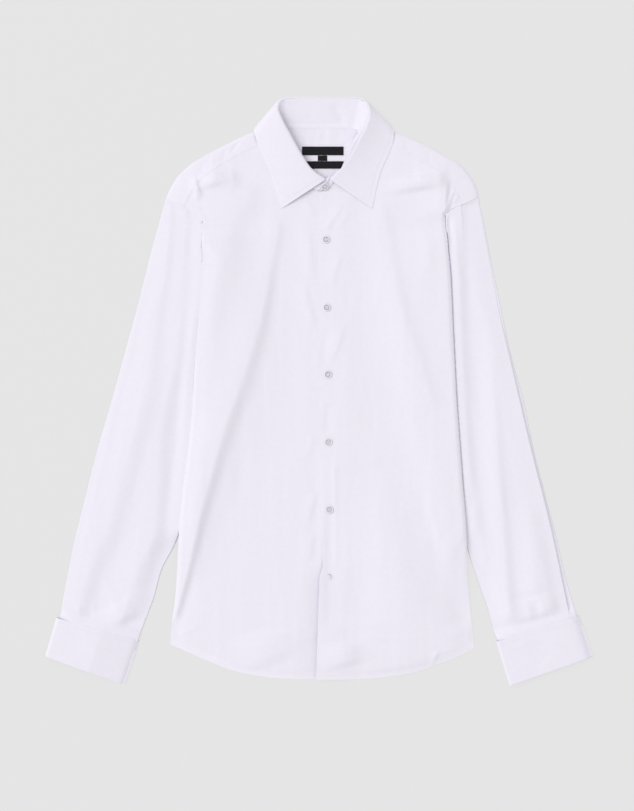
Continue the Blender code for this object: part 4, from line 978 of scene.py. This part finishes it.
def yoke():
    """Each line of the grid runs up the back, turns over the shoulder and comes down to the front's seam."""
    shoulder, neck = 64 // FINE, 60 // FINE
    back_rows, turn_rows, strip_rows = 40 // FINE, 8, 26 // FINE
    places = np.linspace(0, 1, shoulder + 1)
    at_neck = along(BACK_NECK, np.linspace(0, 1, neck + 1))[1:-1]
    right, left = SIDES["right"], SIDES["left"]
    rim = np.vstack([along(right["shoulder"], places), at_neck, along(left["shoulder"], places)[::-1]])
    seam_right, seam_left = (along(sewn["yoke_seam"][::-1], places) for sewn in (right, left))
    seam = np.vstack([seam_right, at_neck, seam_left[::-1]])
    count = len(rim)
    back_seam = back_yoke_seam(np.linspace(0, 1, count))
    on_shoulder = np.ones(count, bool)
    on_shoulder[shoulder + 1:shoulder + neck] = False
    inward = unit(np.where(on_shoulder[:, None], seam, back_seam) - rim)
    start = rim + inward * SHOULDER_ROLL * on_shoulder[:, None]

    # Inside, up the back
    up_the_back = np.linspace(0, 1, back_rows + 1)
    plan = back_seam[:, None] + up_the_back[None, :, None] * (start - back_seam)[:, None]
    x, y = plan[..., 0], plan[..., 1]
    relief = 0.96 * (fold_height(x, y, YOKE_CREASES) + unevenness(x, y, 33))
    relief *= ramp(up_the_back, 1, 0.96)
    in_neck = ramp(np.abs(x + 4), 70, 45)
    at_rim = 1 - ramp(up_the_back, 0.9, 1) * on_shoulder[:, None]
    inner = np.dstack([plan, (relief + INSIDE_RISE) * in_neck * ramp(up_the_back, 0, 0.2) * at_rim])

    # The turn over the shoulder
    angles = math.pi * np.arange(1, turn_rows) / turn_rows
    out = start[:, None] - inward[:, None] * SHOULDER_ROLL * np.sin(angles)[None, :, None]
    turn = np.dstack([out, np.tile(SHOULDER_ROLL * (1 - np.cos(angles)), (count, 1))])

    # The strip on the front
    t = np.linspace(0, 1, strip_rows + 1)
    end = seam + inward * 0.6
    plan = start[:, None] + t[None, :, None] * (end - start)[:, None]
    x, y = plan[..., 0], plan[..., 1]
    turned = 2 * SHOULDER_ROLL
    heights = turned + (front_bottom(x, y) + WALL - turned) * rounded(t)
    heights += (fold_height(x, y, YOKE_CREASES) + unevenness(x, y, 5)) * ramp(t, 0, 0.3)
    edge = np.linalg.norm(plan - end[:, None], axis=2)
    heights += 0.16 * smooth(YOKE_HEM - edge) - 0.1 * bell((edge - YOKE_HEM) / 0.9)
    heights += 0.14 - 0.06 * edge_drop(edge, 0.6) + pucker(x, y, edge)
    strip = np.dstack([plan, heights])

    grid = np.concatenate([inner, turn, strip], axis=1)
    keep = np.zeros((count - 1, grid.shape[1] - 1), bool)
    keep[:, :back_rows] = True
    keep[on_shoulder[:-1] & on_shoulder[1:]] = True
    obj = cloth("yoke", grid, WALL, keep=keep, flip=True)
    sewn = [step_in(part, "v1", 1.6) for part in (strip[:shoulder + 1], strip[shoulder + neck - 1:])]
    thread = stitches("stitches_yoke", facing_up(sewn))


# ---- sleeves and cuffs ----

def sleeve_top(side, x, y):
    """A sleeve's upper face. Beside the body the right one rises to it, and the left one dips first."""
    within = distance_to(x, y, SIDE_PATHS[side]) * inside(x, y, BODY_LOOP)
    from_body = distance_to_area(x, y, BODY_LOOP) - within
    beside_body = ramp(from_body, -3.2, -2)
    if side == "right":
        # Below the waist it rises a little more, which keeps the line beside the body fine
        level = SIDE_LEVEL + 1.4 * ramp(y, 20, -40) * ramp(y, -205, -175)
        loft = level + (SLEEVE_LOFT - level) * ramp(from_body, 2, 22)
        loft -= 0.6 * bell((from_body - 17) / 8)
        loft = SLEEVE_FLAT + (loft - SLEEVE_FLAT) * beside_body
    else:
        away = ramp(from_body, 12, 32)
        lift = 1.1 * bell((from_body - 11) / 6) * ramp(y, -160, -100)
        lift += 1.7 * ramp(from_body, 0.2, 1.6) * (1 - away) * ramp(y, -190, -130)
        loft = SLEEVE_FLAT + 0.1 + lift + (SLEEVE_LOFT - SLEEVE_FLAT - 0.1) * away
    # Above the underarm nothing lies on it, so it has its full height
    to_armhole, where, _ = nearest_on(x, y, ARM_PATHS[side])
    beside = ramp(y, TUCK_STARTS[side] + 3, TUCK_STARTS[side] + 25)
    loft = loft + (SLEEVE_LOFT - 0.1 - loft) * beside * (from_body > 0)
    # At the armhole it meets the front's level, which falls over the yoke to the shoulder's turn
    on_yoke = np.clip((1 - where) / (1 - YOKE_ON_ARMHOLE[side]), 0, 1)
    turned = 2 * SHOULDER_ROLL
    armhole_level = turned + (FRONT_LIFT + WALL + FRONT_BASE - turned) * rounded(on_yoke) - 0.15
    loft = loft + (armhole_level - loft) * ramp(to_armhole, 20, 0) * (from_body > 0.05)
    folds = fold_height(x, y, SLEEVE_FOLDS) * ramp(to_armhole, -1, 8) * ramp(from_body, -1, 7)
    swell = fold_height(x, y, SHARED_FOLDS) * beside_body
    return np.maximum(loft + folds, 0.95) + swell + pucker(x, y, to_armhole) * (to_armhole > 0.3)


def cuff_ends(side):
    """A cuff's two ends, each from its top to its fold, with the open end first."""
    corners = CUFFS[side]
    ends = [np.array([corners[f"{end}_top"], corners[f"{end}_fold"]], float) for end in ("outer", "inner")]
    return ends if corners["open_side"] == "outer" else ends[::-1]


def cuff_crown(side, run, inwards):
    """The middle of a cuff's upper layer at a distance from the cuff's open end."""
    right = side == "right"
    closed = 3 * CUFF_LAYER + WALL / 2 - inwards - (1.0 if right else 0)
    peak = CUFF_LOFT - inwards - WALL / 2 + (1.8 if right else 0)
    share = np.clip(run / 52, 0, 1) if right else rounded(run / 26) ** 2
    return closed + (peak - closed) * share


def press_edge(x, y, top, floor):
    """The left sleeve's upper layer ends in a pressed edge, and a strip of the lower one shows beyond it."""
    d, where, hand = nearest_on(x, y, smooth_path(PRESSED_CREASE, 6))
    past = d * hand
    level = PRESSED_LEVEL + 2.9 * ramp(y, 150, -40)
    fall = 24 + 14 * ramp(y, 60, 140)
    pressed = top - np.maximum(top - level, 0) * (1 - smooth(-past / fall)) - 0.5 * edge_drop(-past, 1.5)
    stepped = pressed + (floor + STRIP_HEIGHT - pressed) * ramp(past, 0.1, 1)
    return stepped, past, ramp(where, 0, 0.03)


def sleeve(side):
    right = side == "right"
    edges = SIDES[side]
    first_stations = 60 // FINE
    ss = np.concatenate([np.linspace(0, 0.12, first_stations, endpoint=False),
                         np.linspace(0.12, 1, 300 // FINE - first_stations)])
    fine = np.concatenate([np.linspace(0, 0.085, 18, endpoint=False),
                           np.linspace(0.085, 0.94, 66 // FINE, endpoint=False), np.linspace(0.94, 1, 8)])
    coarse = np.concatenate([[0.985, 0.96], np.linspace(0.93, 0.07, 18), [0.04, 0.015]])
    cs = np.concatenate([fine, coarse])
    is_top = np.arange(len(cs)) < len(fine)
    outer, inner = along(edges["outer"], ss), along(edges["inner"], ss)
    armhole = along(edges["armhole"], np.linspace(0, 1, 60))[::-1]
    cuff_edge = outer[-1] + cs[:, None] * (inner[-1] - outer[-1])
    plan = patch(outer, inner, spread(armhole, cs), cuff_edge, ss, cs)
    x, y = plan[..., 0], plan[..., 1]

    # Where the cuff holds the sleeve: beyond its top edge the sleeve is still free
    cuff_top = np.array([CUFFS[side]["outer_top"], CUFFS[side]["inner_top"]], float)
    across, away = cuff_top[1] - cuff_top[0], plan - cuff_top[0]
    beyond = (across[0] * away[..., 1] - across[1] * away[..., 0]) * (1 if right else -1) > 0
    to_cuff = distance_to(x, y, cuff_top)
    in_cuff = ramp(to_cuff * beyond, 17, 1)

    # The tube's edges: rounder at the cuff, sharper at the underarm, low at the rims
    width = np.linalg.norm(inner - outer, axis=1)[:, None]
    at_underarm = ramp(y, 175, 210) * (cs > 0.5)[None]
    from_edge = np.minimum(cs, 1 - cs)[None] * width
    edge_round = SLEEVE_ROUND + 23.4 * in_cuff - (SLEEVE_ROUND - UNDERARM_ROUND[side]) * at_underarm
    outer_rim = (1 - in_cuff) * ramp(cs[None] * width, 26, 0)
    inner_rim = (1 - in_cuff) * ramp((1 - cs[None]) * width, 34, 0) * ramp(y, -190, -220)
    edge = rounded(from_edge / edge_round) * (1 - (0.05 if right else 0.3) * outer_rim - 0.88 * inner_rim)

    visible = ramp(distance_to_area(x, y, BODY_LOOP), 1, 10)
    seed, lean = (21, 0.19) if right else (15, -0.17)
    top = sleeve_top(side, x, y) + unevenness(x, y, seed, lean) * (0.06 + 0.94 * visible)
    (start, _), (end, _) = cuff_ends(side)
    crown = cuff_crown(side, (plan - start) @ unit(end - start), 0.0)
    into_cuff = ramp(to_cuff * (1 - beyond), 1, 6)
    seated_top = crown + CUFF_CLOTH / 2 - 0.3 - (CUFF_LAYER + 0.9) * into_cuff
    top = top + (seated_top - top) * in_cuff
    floor = (CUFF_LAYER + 0.2) * in_cuff + 0.02
    middle = floor + np.minimum(1.0 + (SLEEVE_EDGE - 1.0) * in_cuff, (top - floor) / 2)
    if not right:
        stepped, past, shown = press_edge(x, y, top, floor)
        shown = shown * (1 - in_cuff) * (cs < 0.5)[None]
        pressed_round = np.where(past < 1.1, 1.0, rounded((from_edge - 0.1) / 1.2))
        edge = np.where(is_top[None], edge + (pressed_round - edge) * shown, edge)
        top = top + (stepped - top) * shown
    upper = middle + (top - middle) * edge - 0.15 * edge_drop(distance_to(x, y, ARM_PATHS[side]), 1.2)
    z = np.where(is_top[None], upper, middle + (floor - middle) * edge)
    ring = np.dstack([plan, z])

    # One more row turns under the front's and the yoke's edge
    run = unit(np.gradient(spread(armhole, fine), axis=0))
    under = np.stack([-run[:, 1], run[:, 0]], axis=-1) * (1 if right else -1)
    first = ring[0].copy()
    first[:, :2] += sample(cs, fine, under) * TUCK_UNDER
    first[:, 2] += np.where(is_top, 0.3 - TUCK_DROP, 0.4)
    obj = cloth(f"sleeve_{side}", np.concatenate([first[None], ring]), CLOTH, loop=True, flip=not right)


def cuff_layer(side, inwards, depth, puff):
    """One line around a cuff's layer, from its open end over the top, round the far end and back below."""
    start, end = cuff_ends(side)
    first = start[0] + depth * (start[1] - start[0])
    final = end[0] + depth * (end[1] - end[0])
    width = np.linalg.norm(final - first)
    toward = (final - first) / width
    columns = 64 // FINE
    low = CUFF_CLOTH / 2 + inwards
    turn = (CUFF_LOFT - inwards - WALL / 2 - low) / 2
    run = np.linspace(0, 1, columns) * (width - turn - low)
    crown = cuff_crown(side, run, inwards) + puff * np.sin(math.pi * np.clip(run / width, 0, 1))
    turn = (crown[-1] - low) / 2
    centre = first + toward * run[-1]
    # The open end's edges lie staggered, so its side slopes down
    q = np.clip(run / (10 if side == "right" else 13), 0, 1)
    crown = low + (crown - low) * (0.08 + 0.92 * q * (2 - q))
    top = np.column_stack([first + toward * run[:, None], crown])
    angles = np.linspace(0, math.pi, 12)[1:-1]
    bend = centre + toward * (turn * np.sin(angles))[:, None]
    bend = np.column_stack([bend, low + turn * (1 + np.cos(angles))])
    t = np.linspace(0, 1, columns // 2)[:, None]
    under = np.column_stack([centre + t * (first - centre), np.full(len(t), low)])
    return np.vstack([top, bend, under])


def cuff(side):
    columns, depths = 64 // FINE, 44 // FINE
    down = np.linspace(0, 1, depths) ** 0.85
    half_gap = CUFF_LAYER / 2
    fold_edge = 1 - (half_gap + CUFF_CLOTH / 2) / CUFF_DEPTH
    rows = [cuff_layer(side, 0.0, b * fold_edge, 0.35 * math.sin(math.pi * b)) for b in down]
    for angle in np.linspace(0, math.pi, 9)[1:-1]:
        depth = fold_edge + half_gap / CUFF_DEPTH * math.sin(angle)
        rows.append(cuff_layer(side, half_gap * (1 - math.cos(angle)), depth, 0))
    rows += [cuff_layer(side, CUFF_LAYER, b * fold_edge, 0) for b in down[::-1] if b >= CUFF_SEAM_DEPTH]
    grid = np.stack(rows, axis=1)
    outer = grid[:columns, :depths]
    x, y = outer[..., 0], outer[..., 1]
    outer[..., 2] += 0.10 * soft_noise(x, y, 14, 3) + 0.06 * soft_noise(x, y, 6, 4)
    outer[..., 2] += fold_height(x, y, CUFF_FOLDS[side])
    obj = cloth(f"cuff_{side}", grid, CUFF_CLOTH, 0.0)
    if side == "right":
        # The half towards its open end gets painted shade: a darker copy of the shirting, where the cuff
        # slopes down to that end
        (start, _), (end, _) = cuff_ends(side)
        run = (grid[..., :2] - start) @ unit(end - start)
        second_cloth(obj, run[:-1, :-1] < PAINTED_SHADE_REACH, SHIRTING_PAINTED_SHADE)
    sewn = facing_up([step_in(outer, border, EDGE_STITCH) for border in ("v0", "u0")])
    thread = stitches(f"stitches_cuff_{side}", [(line + [0, 0, CUFF_CLOTH / 2], up) for line, up in sewn])


# ---- collar ----

def refine(grid, per_row, softness):
    """A grid with more rows, on smooth curves through the given ones."""
    count = len(grid) - 1
    at = np.linspace(0, 1, count * per_row + 1)
    knots = np.linspace(0, 1, count + 1)
    slopes = softness * np.gradient(grid, knots, axis=0)
    i = np.minimum((at * count).astype(int), count - 1)
    t = ((at - knots[i]) / knots[1])[:, None, None]
    return cubic(t, knots[1], grid[i], grid[i + 1], slopes[i], slopes[i + 1])


def roll_arc(i, angles):
    turn, out = ROWS["turn"][i], ROWS["outward"][i]
    up = np.array([*(out * math.sin(turn)), math.cos(turn)])
    over = np.array([*(out * math.cos(turn)), -math.sin(turn)])
    centre = ROWS["apex"][i] - ROLL_RADIUS * up
    return [centre + ROLL_RADIUS * (up * math.cos(a) + over * math.sin(a)) for a in angles]


def on_body(x, y):
    return float(top_of_body(x, y)[0])


def leaf_edge(i):
    (x, y), rest = ROWS["edge"][i], ROWS["edge_rest"][i]
    if rest is UNDER:
        z = UNDER_EDGE_Z if ROWS["turn"][i] > math.radians(60) else CONTOUR_EDGE_Z
    else:
        z = on_body(x, y) + COLLAR_CLOTH / 2 - 0.1 + 0.15 * rest
    return np.array([x, y, z])


def stand_foot(i):
    x, y = ROWS["seam"][i]
    on_front = on_body(x, y)
    share = float(ramp(math.degrees(ROWS["turn"][i]), 20, 70))
    rest = SEAM_REST + 2 * share * (1 - share) + 0.45 * share
    return np.array([x, y, on_front + (WALL - on_front) * share + rest])


def band_end(side):
    """The foot and the top of the stand's end. The right one lies under the left front."""
    *high, x, y = BAND_ENDS[side]
    under = WALL + SEAM_GAP if side == "right" else 0
    return np.array([x, y, on_body(x, y) - under + SEAM_REST]), np.array(high)


def collar_lines():
    """The leaf's lines from the roll to its edge, and the stand's from its foot to the roll."""
    leaf, stand = [], []
    t = np.linspace(0, 1, 18)[:, None]
    quarter = math.radians(90)
    for i, apex in enumerate(ROWS["apex"]):
        edge, turn, crown = leaf_edge(i), ROWS["turn"][i], ROWS["crown"][i]
        reach = np.linalg.norm(edge[:2] - apex[:2])
        slope = math.atan(max(apex[2] - edge[2] - 4 * crown, 0.5) / reach)
        last = slope + (quarter - slope) * turn / quarter
        # On the side away from the light the stand is upright at its foot and leans out to a broad roll
        broad = float(ramp(apex[0], 14, 34) * ramp(math.degrees(turn), 60, 0))
        arc = roll_arc(i, np.linspace(math.radians(-75 + 47 * broad), last, 14))
        q = np.linspace(0, 1, 34 // FINE + 1)[1:, None]
        leaf.append(np.vstack([arc, arc[-1] + q * (edge - arc[-1]) + crown * 4 * q * (1 - q) * [0, 0, 1]]))
        out = t ** (1 + broad)
        rise = t + broad * (1 - (1 - out) ** 9 - t)
        foot = stand_foot(i)
        stand.append(foot + np.hstack([out, out, rise]) * (arc[0] - foot))
    ends = [low + t * (high - low) for low, high in (band_end("right"), band_end("left"))]
    return np.array(leaf), np.array([ends[0], *stand, ends[1]])


def collar_leaf(lines):
    per_row = 8 // FINE
    leaf = refine(lines, per_row, 0.8)
    leaf[..., 2] = np.maximum(leaf[..., 2], COLLAR_CLOTH / 2 + 0.05)
    normal = normals_of(leaf)
    upward = np.sign(normal[len(leaf) // 6, -8, 2])
    x, y = leaf[..., 0], leaf[..., 1]
    run, down = run_along(leaf), run_along(leaf, 1)
    border = np.minimum(down[:, -1:] - down, np.minimum(run, run[-1:] - run)) - EDGE_STITCH
    relief = 0.10 * soft_noise(x, y, 16, 41) + 0.05 * soft_noise(x, y, 7, 42)
    # Inwards of the stitches the leaf is a little higher, with a groove along them
    relief += 0.14 * ramp(border, 0, 1.2) - 0.12 * bell(border / 1.1)
    on_fall = ramp(np.arange(leaf.shape[1]), 12, 18)
    leaf = leaf + normal * upward * (relief * on_fall)[..., None]
    leaf[..., 2] = np.maximum(leaf[..., 2], COLLAR_CLOTH / 2 + 0.03)
    obj = cloth("collar_leaf", leaf, COLLAR_CLOTH, 0.0, flip=upward < 0)
    sewn = []
    for border_name in ("v1", "u0", "u1"):
        line, up = step_in(leaf[:, 13:], border_name, EDGE_STITCH)
        if border_name == "v1":
            keep = slice(per_row, len(line) - per_row)
        else:
            keep = np.linalg.norm(line - line[-1], axis=1) > EDGE_STITCH
        line, up = line[keep], up[keep]
        up = up * (-1 if up[:, 2].sum() < 0 else 1)
        sewn.append((line + up * COLLAR_CLOTH / 2, up))
    thread = stitches("stitches_collar_leaf", sewn)


def collar_stand(lines):
    stand = refine(lines, 8 // FINE, 0.5)
    # One more row turns the foot out: inside the neck it goes down to the yoke
    foot = stand[:, :1] + (stand[:, :1] - stand[:, 1:2]) * [0.2, 0.2, 0.0]
    x, y, z = foot[..., 0], foot[..., 1], foot[..., 2]
    foot = np.dstack([x, y, np.where(y > NECK_FRONT, np.minimum(z - 0.4, FOOT_LEVEL), z - 1.0)])
    stand = np.concatenate([foot, stand], axis=1)
    middle = len(ROWS["outward"]) // 2
    normal = normals_of(stand)
    inward = -np.sign(np.sum(normal[len(stand) // 2, 8, :2] * ROWS["outward"][middle]))
    x, y = stand[..., 0], stand[..., 1]
    from_seam = run_along(stand, 1)
    relief = 0.12 * smooth(STAND_SEAM - from_seam) - 0.25 * bell((from_seam - STAND_SEAM) / 0.9)
    relief += 0.12 * soft_noise(x, stand[..., 2] + y, 13, 51) + fold_height(x, y, STAND_FOLDS)
    stand = stand + normal * inward * relief[..., None]
    obj = cloth("collar_stand", stand, COLLAR_CLOTH, 0.0, flip=inward < 0)
    second_cloth(obj, from_seam[:-1, :-1] < STAND_BRIGHT, SHIRTING_DOUBLE)
    line, up = step_in(stand, "v0", 3.0)
    up = up * inward
    thread = stitches("stitches_collar_stand", [(line + up * COLLAR_CLOTH / 2, up)])


# ---- buttons and labels ----

def button_mesh(name):
    """A four-hole shirt button with a rounded rim and a dished middle, its foot at z = 0."""
    radii = np.concatenate([np.linspace(0, 3.6, 17), np.linspace(3.7, BUTTON_RADIUS, 12)])
    turns = np.linspace(0, 2 * math.pi, 48, endpoint=False)
    r, a = np.meshgrid(radii, turns, indexing="ij")
    x, y = r * np.cos(a), r * np.sin(a)
    dish = 0.55 * (1 - bell((r - BUTTON_DISH) / 0.62)) * (r < BUTTON_DISH)
    top = BUTTON_THICK - dish - 1.1 * edge_drop(BUTTON_RADIUS - r, 0.7)
    from_hole = np.hypot(np.abs(x) - HOLE_PLACE, np.abs(y) - HOLE_PLACE)
    top = top - 1.3 * ramp(from_hole, HOLE_RADIUS + 0.22, HOLE_RADIUS)
    upper = np.dstack([x, y, np.maximum(top, 0.3)])
    foot = np.dstack([x[::-1] * 0.86, y[::-1] * 0.86, np.zeros(x.shape)])[::4]
    return grid_mesh(name, np.concatenate([upper, foot]), loop=True)


def thread_bars(name):
    """Sewing thread through a button's holes, as two bars of three strands."""
    points, quads = [], []
    path = [(-HOLE_PLACE, 1.1), (-0.7, 1.95), (0.0, 2.1), (0.7, 1.95), (HOLE_PLACE, 1.1)]
    sides = np.arange(6)
    after = np.roll(sides, -1)
    angles = 2 * math.pi * sides / 6
    one_band = np.stack([sides, after, after + 6, sides + 6], axis=-1)
    for middle in (-HOLE_PLACE, HOLE_PLACE):
        for strand in (-0.28, 0.0, 0.28):
            for k, (px, pz) in enumerate(path):
                y, z = middle + strand + 0.16 * np.cos(angles), pz + 0.16 * np.sin(angles)
                points.append(np.column_stack([np.full(6, px), y, z]))
                if k:
                    quads.append(one_band + 6 * (len(points) - 2))
    return raw_mesh(name, np.vstack(points), np.vstack(quads))


def button(name, matrix, pearl):
    disc, thread = button_mesh(f"pearl_{name}"), thread_bars(f"thread_{name}")
    disc.matrix_world = matrix
    thread.matrix_world = matrix
    dress(disc, pearl, name)
    dress(thread, THREAD)


def button_rest(x, y):
    """The height of the cloth's highest point under a button."""
    angles = np.linspace(0, 2 * math.pi, 12, endpoint=False)
    px = np.append(x + BUTTON_RADIUS * np.cos(angles), x)
    py = np.append(y + BUTTON_RADIUS * np.sin(angles), y)
    return float(top_of_body(px, py).max()) + 0.1


def buttons():
    for order, (name, (x, y)) in enumerate(BUTTON_PLACES.items()):
        spin = Matrix.Rotation(math.radians(12 + 23 * order), 4, "Z")
        place = Matrix.Translation(Vector((x, y, button_rest(x, y))) * MM)
        # The lower three buttons get the lighter painted shade in their rings
        button(name, place @ spin, PEARL if order < 3 else PEARL_LIGHTER_SHADE)
    # The collar's button lies on the slope of the stand's left end
    low, high = band_end("left")
    face = unit(np.cross(stand_foot(len(ROWS["seam"]) - 1) - low, high - low))
    face *= np.sign(face[2])
    x, y = COLLAR_BUTTON
    z = low[2] - (face[0] * (x - low[0]) + face[1] * (y - low[1])) / face[2]
    foot = np.array([x, y, z]) + face * (WALL / 2 + 0.2)
    tilt = Vector((0, 0, 1)).rotation_difference(Vector(face)).to_matrix().to_4x4()
    # Its ring has the lighter painted shade
    button("button_collar", Matrix.Translation(Vector(foot) * MM) @ tilt, PEARL_LIGHTER_SHADE)


def labels():
    for name, (x, y, width, height, thick) in LABELS.items():
        # The small tab is folded double, but only the part of it that shows is built, with fewer columns
        small = width < 20
        columns, doubled = (24, 2) if small else (60, 1)
        u, v = np.meshgrid(np.linspace(-0.5, 0.5, columns), np.linspace(-0.5, 0.5, 24), indexing="ij")
        px, py = x + u * width, y + v * height
        edge = np.minimum((0.5 - abs(u)) * width, (0.5 - abs(v)) * height)
        level = WALL + SEAM_GAP + thick + INSIDE_RISE - 0.3
        pz = level + 0.18 * soft_noise(px, py, 15, 61) - 0.3 * edge_drop(edge, 0.8)
        obj = grid_mesh(f"woven_{name}", np.dstack([px, py, pz]))
        thicken(obj, LABEL_CLOTH)
        dress(obj, LABEL, name)


# ---- studio ----

def studio():
    bpy.ops.mesh.primitive_plane_add(size=12)
    floor = bpy.context.active_object
    floor.name = "floor"
    # A light table: it evens out the shadows around the garment
    material, tree, shader = material_of("floor_paper", {
        "Base Color": (*FLOOR_GREY, 1), "Roughness": 0.9, "Specular IOR Level": 0.0,
        "Emission Color": (1, 1, 1, 1), "Emission Strength": FLOOR_GLOW})
    feed(tree, shader, Normal=bump(tree, noise(tree, None, 400), 0.05, 0.1))
    floor.data.materials.append(material)
    world = bpy.data.worlds.new("studio_air")
    bpy.context.scene.world = world
    world.use_nodes = True
    air = world.node_tree.nodes["Background"].inputs
    air["Color"].default_value = (1, 1, 1, 1)
    air["Strength"].default_value = AIR_LIGHT
    soft_box = bpy.data.lights.new("soft_box", "AREA")
    soft_box.shape = "DISK"
    soft_box.size = SOFT_BOX_SIZE
    soft_box.energy = SOFT_BOX_WATTS
    lamp = bpy.data.objects.new("soft_box", soft_box)
    bpy.context.scene.collection.objects.link(lamp)
    towards = Vector(LIGHT_DIRECTION).normalized()
    lamp.location = -towards * SOFT_BOX_DISTANCE
    lamp.rotation_euler = towards.to_track_quat("-Z", "Y").to_euler()


def camera():
    data = bpy.data.cameras.new("picture_camera")
    data.sensor_fit = "VERTICAL"
    data.sensor_height = SENSOR_HEIGHT
    data.lens = SENSOR_HEIGHT * CAMERA_HEIGHT / (PICTURE_HEIGHT_PX * MM_PER_PX)
    data.clip_end = 50.0
    eye = bpy.data.objects.new("picture_camera", data)
    bpy.context.scene.collection.objects.link(eye)
    eye.location = Vector((*PICTURE_MIDDLE, CAMERA_HEIGHT)) * MM
    bpy.context.scene.camera = eye


back()
yoke()
front("right")
front("left")
for wearer_side in ("right", "left"):
    sleeve(wearer_side)
    cuff(wearer_side)
leaf_lines, stand_lines = collar_lines()
collar_leaf(leaf_lines)
collar_stand(stand_lines)
buttons()
labels()
studio()
camera()
bpy.context.scene.view_settings.view_transform = "Standard"
